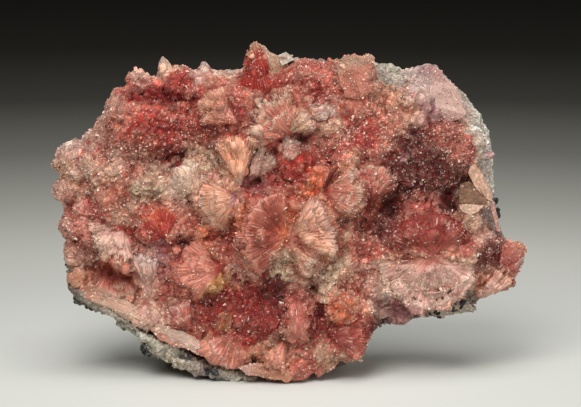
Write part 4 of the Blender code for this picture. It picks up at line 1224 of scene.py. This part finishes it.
def rock_tint(points, relief):
    """The rock's colour: grey and white vein stone, with the crust's colours close to it, and
    painted light that makes it lighter towards the back.
    """
    mix = np.clip(0.5 + 0.45 * waves(points, 9 * MM, 71, 2), 0, 1)[:, None]
    tint = linear("grey") * (1 - mix) + linear("white") * mix
    rust = np.clip(waves(points, 16 * MM, 72, 2) - 0.7, 0, 1)[:, None]
    tint = tint * (1 - 0.6 * rust) + linear("tan") * 0.6 * rust
    columns, rows, depths = sheet_of(points)
    facing = np.clip((9 - depths) / 5, 0, 0.8)[:, None]
    tint = tint * (1 - facing) + region_mix(points, 79, ROCK_PATCHES)[0] * facing
    tint *= (0.92 + 0.16 * lumps(points, 3.2 * MM, 76) + 0.1 * waves(points, 1.2 * MM, 78, 2))[:, None]
    dark = np.clip(2.2 * waves(points, 7 * MM, 73, 3) - 3.2, 0, 1)[:, None]
    tint = tint * (1 - 0.8 * dark) + np.array([0.02, 0.02, 0.02]) * 0.8 * dark
    # Painted light: lighter towards the back, where little of the lamps' light falls.
    tint *= 1 + 0.9 * np.clip((depths - 4) / 6, 0, 1)[:, None]
    upper = np.clip((205 - rows) / 40, 0, 1)
    near = np.clip((2.0 + 3 * upper) * relief.read(relief.crust, columns, rows) - 0.3, 0, 0.8)
    near = near * np.clip((8 + 6 * upper - depths) / 6, 0, 1)
    near = (near * np.clip(1.0 + 0.5 * waves(points, 3 * MM, 74, 2), 0, 1))[:, None]
    crust, _ = region_mix(points, 5)
    pale = 0.45 * crust + 0.5 * linear("haze")
    return tint * (1 - near) + pale * near


def build_rock():
    """The vein rock: broken lumps with creases, flat underneath where it rests."""
    points, normals, faces = skin_of(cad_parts["matrix_rock"], ROCK_CELL, 2)
    resting = points[:, 2] < LOWEST
    _, _, depths = sheet_of(points)
    parting = (depths < 3.2) & (normals[:, 1] < -0.6) & (points[:, 2] > 0.012)
    rise = 0.35 * lumps(points, 9 * MM, 75) + 0.22 * lumps(points, 3.2 * MM, 76) - 0.25
    rise = rise * np.clip(1.2 - points[:, 2] / 0.06, 0.5, 1) + 0.16 * waves(points, 1.8 * MM, 77, 3)
    points = points + normals * (np.where(resting | parting, 0, rise) * MM)[:, None]
    points[:, 2] = np.where(resting, 0, np.maximum(points[:, 2], 0))
    relief = Shared.prepare()[0]
    return new_piece("rock_body", points, [faces], rock_tint(points, relief), 0.0, minerals()["rock"],
                     "matrix_rock")


def build_rock_grains(seed, count):
    """Broken quartz grains all over the rock."""
    rng = np.random.default_rng(seed)
    points, normals, faces = skin_of(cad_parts["matrix_rock"], COARSE_CELL, 2)
    middle = points[faces].mean(1)
    depths = sheet_of(middle)[2]
    seam = band(depths, 2.8, 0.7)
    hidden = (np.abs(depths - 2.4) < 0.6) & (normals[faces[:, 0], 1] < -0.8)
    weight = (1 + 16 * seam) * ~hidden * (middle[:, 2] > 0.0015)
    spots, out, chosen = scatter(points, normals, faces, rng, count, weight)
    size = rng.uniform(0.2, 0.6, len(spots)) * np.clip(1.3 - spots[:, 2] / 0.06, 0.5, 1)
    size = size * (1 + seam[chosen]) * MM
    heading = unit(out + rng.normal(0, 0.7, out.shape) - seam[chosen, None] * np.array([0, 0.9, 0]))
    foot, tip = spots - heading * size[:, None], spots + heading * (0.8 * size)[:, None]
    side = np.cross(heading, rng.normal(size=heading.shape))
    profile = ((0, 0.7), (0.5, 1), (1, 0.5))
    corners, walls, along = prisms(foot, tip, side, size * 0.8, size * 0.6, profile)
    tint = rock_tint(spots, Shared.prepare()[0]) * np.exp(rng.normal(0.05, 0.2, (len(spots), 1)))
    return new_piece("rock_grains", corners, outward(corners, walls), per_corner(tint, along), 0.5,
                     minerals()["rock"], "matrix_rock")


def build_ore(seed, grains):
    """Black ore grains, crowded at the named spots on the rock."""
    rng = np.random.default_rng(seed)
    skin, normals, faces = skin_of(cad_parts["matrix_rock"], COARSE_CELL, 2)
    middle = skin[faces].mean(1)
    columns, rows, depths = sheet_of(middle)
    near = np.zeros(len(middle))
    for column, row, spread, depth in ORE_CLUSTERS:
        away = ((columns - column) ** 2 + (rows - row) ** 2) / spread**2 + ((depths - depth) / 6) ** 2
        near += (away < 1) * np.exp(-2 * away)
    spots, out, _ = scatter(skin, normals, faces, rng, grains, near * (middle[:, 2] > 0.002))
    size = rng.uniform(0.3, 0.95, len(spots)) * MM
    heading = unit(rng.normal(size=spots.shape) + out)
    foot, tip = spots - heading * size[:, None], spots + heading * size[:, None]
    side = np.cross(heading, rng.normal(size=heading.shape))
    profile = ((0, 0.6), (0.5, 1), (1, 0.5))
    corners, walls, along = prisms(foot, tip, side, size * 0.9, size * 0.7, profile, 5)
    tint = np.exp(rng.normal(-3.4, 0.5, (len(foot), 1))) * np.array([1.0, 0.98, 0.92])
    return new_piece("black_ore", corners, outward(corners, walls), per_corner(tint, along), 0.5,
                     minerals()["ore"], "matrix_rock")


def build_floor(pale):
    """The floor: a wide dish that is pale under the specimen and fades to dark far from it, a
    painted pool of light.
    """
    reach = np.array([0.0, 0.05, 0.1, 0.2, 0.4, 0.8, 1.6, 2.6, 3.2, 3.7, 3.9, 4.0])
    height = np.array([0, 0, 0, 0, 0, 0, 0, 0.0, 0.25, 0.9, 1.8, 3.2])
    around = 72
    turn = np.arange(around) * (2 * math.pi / around)
    ring = np.stack([np.cos(turn), np.sin(turn)], 1)
    points = np.concatenate([
        [[0, 0, 0]],
        *[np.column_stack([ring * r, np.full(around, h)]) for r, h in zip(reach[1:], height[1:])],
    ])
    index = 1 + np.arange(around * (len(reach) - 1)).reshape(-1, around)
    near, far = index[:-1], index[1:]
    quads = np.stack([near, far, np.roll(far, -1, 1), np.roll(near, -1, 1)], -1).reshape(-1, 4)
    hub = np.stack([np.zeros(around, int), index[0], np.roll(index[0], -1)], -1)
    mesh = bpy.data.meshes.new("floor")
    mesh.from_pydata(points.tolist(), [], quads.tolist() + hub.tolist())
    mesh.polygons.foreach_set("use_smooth", np.ones(len(mesh.polygons), bool))
    mesh.materials.append(floor_material(pale))
    floor = bpy.data.objects.new("floor", mesh)
    bpy.context.scene.collection.objects.link(floor)


def floor_material(pale):
    """Matt paper whose grey falls off with distance from the middle, a painted pool of light."""
    material = bpy.data.materials.new("floor_paper")
    material.use_nodes = True
    tree = material.node_tree
    where = add_node(tree, "ShaderNodeTexCoord")
    apart = add_node(tree, "ShaderNodeSeparateXYZ")
    flat = add_node(tree, "ShaderNodeCombineXYZ")
    away = add_node(tree, "ShaderNodeVectorMath", operation="LENGTH")
    fade = add_node(tree, "ShaderNodeValToRGB")
    shader = tree.nodes["Principled BSDF"]
    wire(tree, [
        (where, "Object", apart, "Vector"), (apart, "X", flat, "X"), (apart, "Y", flat, "Y"),
        (flat, "Vector", away, 0), (away, "Value", fade, "Fac"), (fade, "Color", shader, "Base Color"),
    ])
    # The stops are the painted pool of light: pale under the specimen, near black far from it.
    stops = [(0.0, 0.86), (0.1, 0.72), (0.17, 0.57), (0.24, 0.37), (0.32, 0.178), (0.42, 0.05),
             (0.53, 0.014), (0.65, 0.006)]
    ramp_of = fade.color_ramp
    ramp_of.interpolation = "LINEAR"
    for at, _ in stops[2:]:
        ramp_of.elements.new(at)
    for element, (at, share) in zip(ramp_of.elements, stops):
        element.position = at
        warm = 0.02 + 0.3 * at**2
        tone = pale * share
        element.color = (tone * (1 + warm), tone * 1.03, tone * (1 - 2 * warm), 1)
    shader.inputs["Roughness"].default_value = 0.9
    shader.inputs["Specular IOR Level"].default_value = 0.1
    return material


def build_light(name, at, size, power, target=(0, 0, 0.03)):
    """A square soft light that faces the specimen."""
    data = bpy.data.lights.new(name, "AREA")
    data.size = size
    data.energy = power
    lamp = bpy.data.objects.new(name, data)
    lamp.location = at
    lamp.rotation_euler = (Vector(target) - Vector(at)).to_track_quat("-Z", "Y").to_euler()
    bpy.context.scene.collection.objects.link(lamp)


def build_camera(distance):
    """A long lens on the front of the specimen, looking down by the sheet's tilt."""
    focus = place(290.5, 203.5, -8.0)
    camera = bpy.data.cameras.new("camera")
    camera.sensor_width = 36
    camera.lens = camera.sensor_width * distance / (SHEET_COLUMNS * SHEET)
    camera.clip_start, camera.clip_end = 0.01, 20
    viewer = bpy.data.objects.new("camera", camera)
    viewer.location = Vector(focus - SIGHT * distance)
    viewer.rotation_euler = Vector(SIGHT).to_track_quat("-Z", "Y").to_euler()
    bpy.context.scene.collection.objects.link(viewer)
    bpy.context.scene.camera = viewer


class SpecimenSettings(bpy.types.PropertyGroup):
    """Sizes and counts of the specimen's pieces."""

    rosettes: bpy.props.IntProperty(
        name="Rosettes", description="Number of small wedges on the crust", default=1150, min=10)
    wedge_thickness: bpy.props.FloatProperty(
        name="Wedge thickness", description="Half thickness of the small wedges",
        default=0.0001, min=0.00005, max=0.001, unit="LENGTH", precision=5)
    grains: bpy.props.IntProperty(
        name="Grains", description="Number of fine crystal ends on the crust", default=19000, min=10)
    crystals: bpy.props.IntProperty(
        name="Crystals", description="Number of coarser crystal ends on the crust",
        default=5000, min=10)
    dark_dots: bpy.props.IntProperty(
        name="Dark dots", description="Number of tiny dark grains on the grey-green patches",
        default=420, min=10)
    rock_grains: bpy.props.IntProperty(
        name="Rock grains", description="Number of broken grains on the rock", default=3500, min=10)
    ore_grains: bpy.props.IntProperty(
        name="Ore grains", description="Number of ore grains on the rock", default=220, min=1)


class StudioSettings(bpy.types.PropertyGroup):
    """The floor, the lights and the camera."""

    pale: bpy.props.FloatProperty(
        name="Floor", description="How pale the floor is under the specimen",
        default=0.74, min=0, max=1, subtype="FACTOR")
    key: bpy.props.FloatProperty(
        name="Key light", description="Power of the light above the front",
        default=15.0, min=0, unit="POWER")
    top: bpy.props.FloatProperty(
        name="Top light", description="Power of the light overhead", default=10.5, min=0, unit="POWER")
    fill: bpy.props.FloatProperty(
        name="Fill light", description="Power of the light beside the camera",
        default=7.0, min=0, unit="POWER")
    distance: bpy.props.FloatProperty(
        name="Camera distance", description="From the camera to the specimen",
        default=1.2, min=0.3, unit="LENGTH")


class SPECIMEN_OT_skin(bpy.types.Operator):
    """Build the crust's own surface"""

    bl_idname = "specimen.skin"
    bl_label = "Crust skin"
    bl_options = {"REGISTER", "UNDO"}

    def execute(self, context):
        build_skin()
        return {"FINISHED"}


class SPECIMEN_OT_wedges(bpy.types.Operator):
    """Build the small wedges on the crust and along the rims of the fans"""

    bl_idname = "specimen.wedges"
    bl_label = "Wedges"
    bl_options = {"REGISTER", "UNDO"}

    def execute(self, context):
        settings = context.scene.specimen
        build_rosettes(102, settings.rosettes, settings.wedge_thickness)
        build_rims(107, settings.wedge_thickness)
        return {"FINISHED"}


class SPECIMEN_OT_grains(bpy.types.Operator):
    """Build the crystal ends that crowd the crust"""

    bl_idname = "specimen.grains"
    bl_label = "Crystal ends"
    bl_options = {"REGISTER", "UNDO"}

    def execute(self, context):
        settings = context.scene.specimen
        build_dots(108, settings.dark_dots)
        build_grains("fine_grains", 103, settings.grains, 0.28, 0.55)
        build_grains("crystal_ends", 104, settings.crystals, 0.5, 0.9)
        return {"FINISHED"}


class SPECIMEN_OT_points(bpy.types.Operator):
    """Build the large crystals that stand alone"""

    bl_idname = "specimen.points"
    bl_label = "Single crystals"
    bl_options = {"REGISTER", "UNDO"}

    def execute(self, context):
        build_points()
        build_plates()
        return {"FINISHED"}


class SPECIMEN_OT_rock(bpy.types.Operator):
    """Build the vein rock with its grains and ore"""

    bl_idname = "specimen.rock"
    bl_label = "Vein rock"
    bl_options = {"REGISTER", "UNDO"}

    def execute(self, context):
        settings = context.scene.specimen
        build_rock()
        build_rock_grains(105, settings.rock_grains)
        build_ore(106, settings.ore_grains)
        return {"FINISHED"}


class SPECIMEN_OT_studio(bpy.types.Operator):
    """Build the floor, the lights and the camera"""

    bl_idname = "specimen.studio"
    bl_label = "Studio"
    bl_options = {"REGISTER", "UNDO"}

    def execute(self, context):
        studio = context.scene.studio
        build_floor(studio.pale)
        build_light("key_light", (-0.3, -0.95, 0.95), 0.7, studio.key)
        build_light("top_light", (0.15, -0.3, 1.25), 1.0, studio.top)
        build_light("fill_light", (0.7, -1.1, 0.45), 0.8, studio.fill)
        build_camera(studio.distance)
        world = bpy.data.worlds.new("studio")
        world.use_nodes = True
        world.node_tree.nodes["Background"].inputs["Color"].default_value = (0.5, 0.5, 0.5, 1)
        world.node_tree.nodes["Background"].inputs["Strength"].default_value = 0.4
        context.scene.world = world
        context.scene.view_settings.view_transform = "Standard"
        return {"FINISHED"}


class SPECIMEN_PT_panel(bpy.types.Panel):
    """The specimen's pieces and settings"""

    bl_label = "Inesite specimen"
    bl_idname = "SPECIMEN_PT_panel"
    bl_space_type = "VIEW_3D"
    bl_region_type = "UI"
    bl_category = "Inesite"

    def draw(self, context):
        for group in (context.scene.specimen, context.scene.studio):
            for name in group.__annotations__:
                self.layout.prop(group, name)
        for operator in OPERATORS:
            self.layout.operator(operator.bl_idname)


OPERATORS = (
    SPECIMEN_OT_skin, SPECIMEN_OT_wedges, SPECIMEN_OT_grains,
    SPECIMEN_OT_points, SPECIMEN_OT_rock, SPECIMEN_OT_studio,
)
CLASSES = (SpecimenSettings, StudioSettings, *OPERATORS, SPECIMEN_PT_panel)


def register():
    """Adds the classes and the scene's settings."""
    for item in CLASSES:
        bpy.utils.register_class(item)
    bpy.types.Scene.specimen = bpy.props.PointerProperty(type=SpecimenSettings)
    bpy.types.Scene.studio = bpy.props.PointerProperty(type=StudioSettings)


def unregister():
    """Removes what register() added."""
    del bpy.types.Scene.specimen
    del bpy.types.Scene.studio
    for item in reversed(CLASSES):
        bpy.utils.unregister_class(item)


def main():
    """Builds every piece."""
    register()
    for operator in (
        bpy.ops.specimen.skin, bpy.ops.specimen.wedges, bpy.ops.specimen.grains,
        bpy.ops.specimen.points, bpy.ops.specimen.rock, bpy.ops.specimen.studio,
    ):
        operator()


if __name__ == "__main__":
    main()
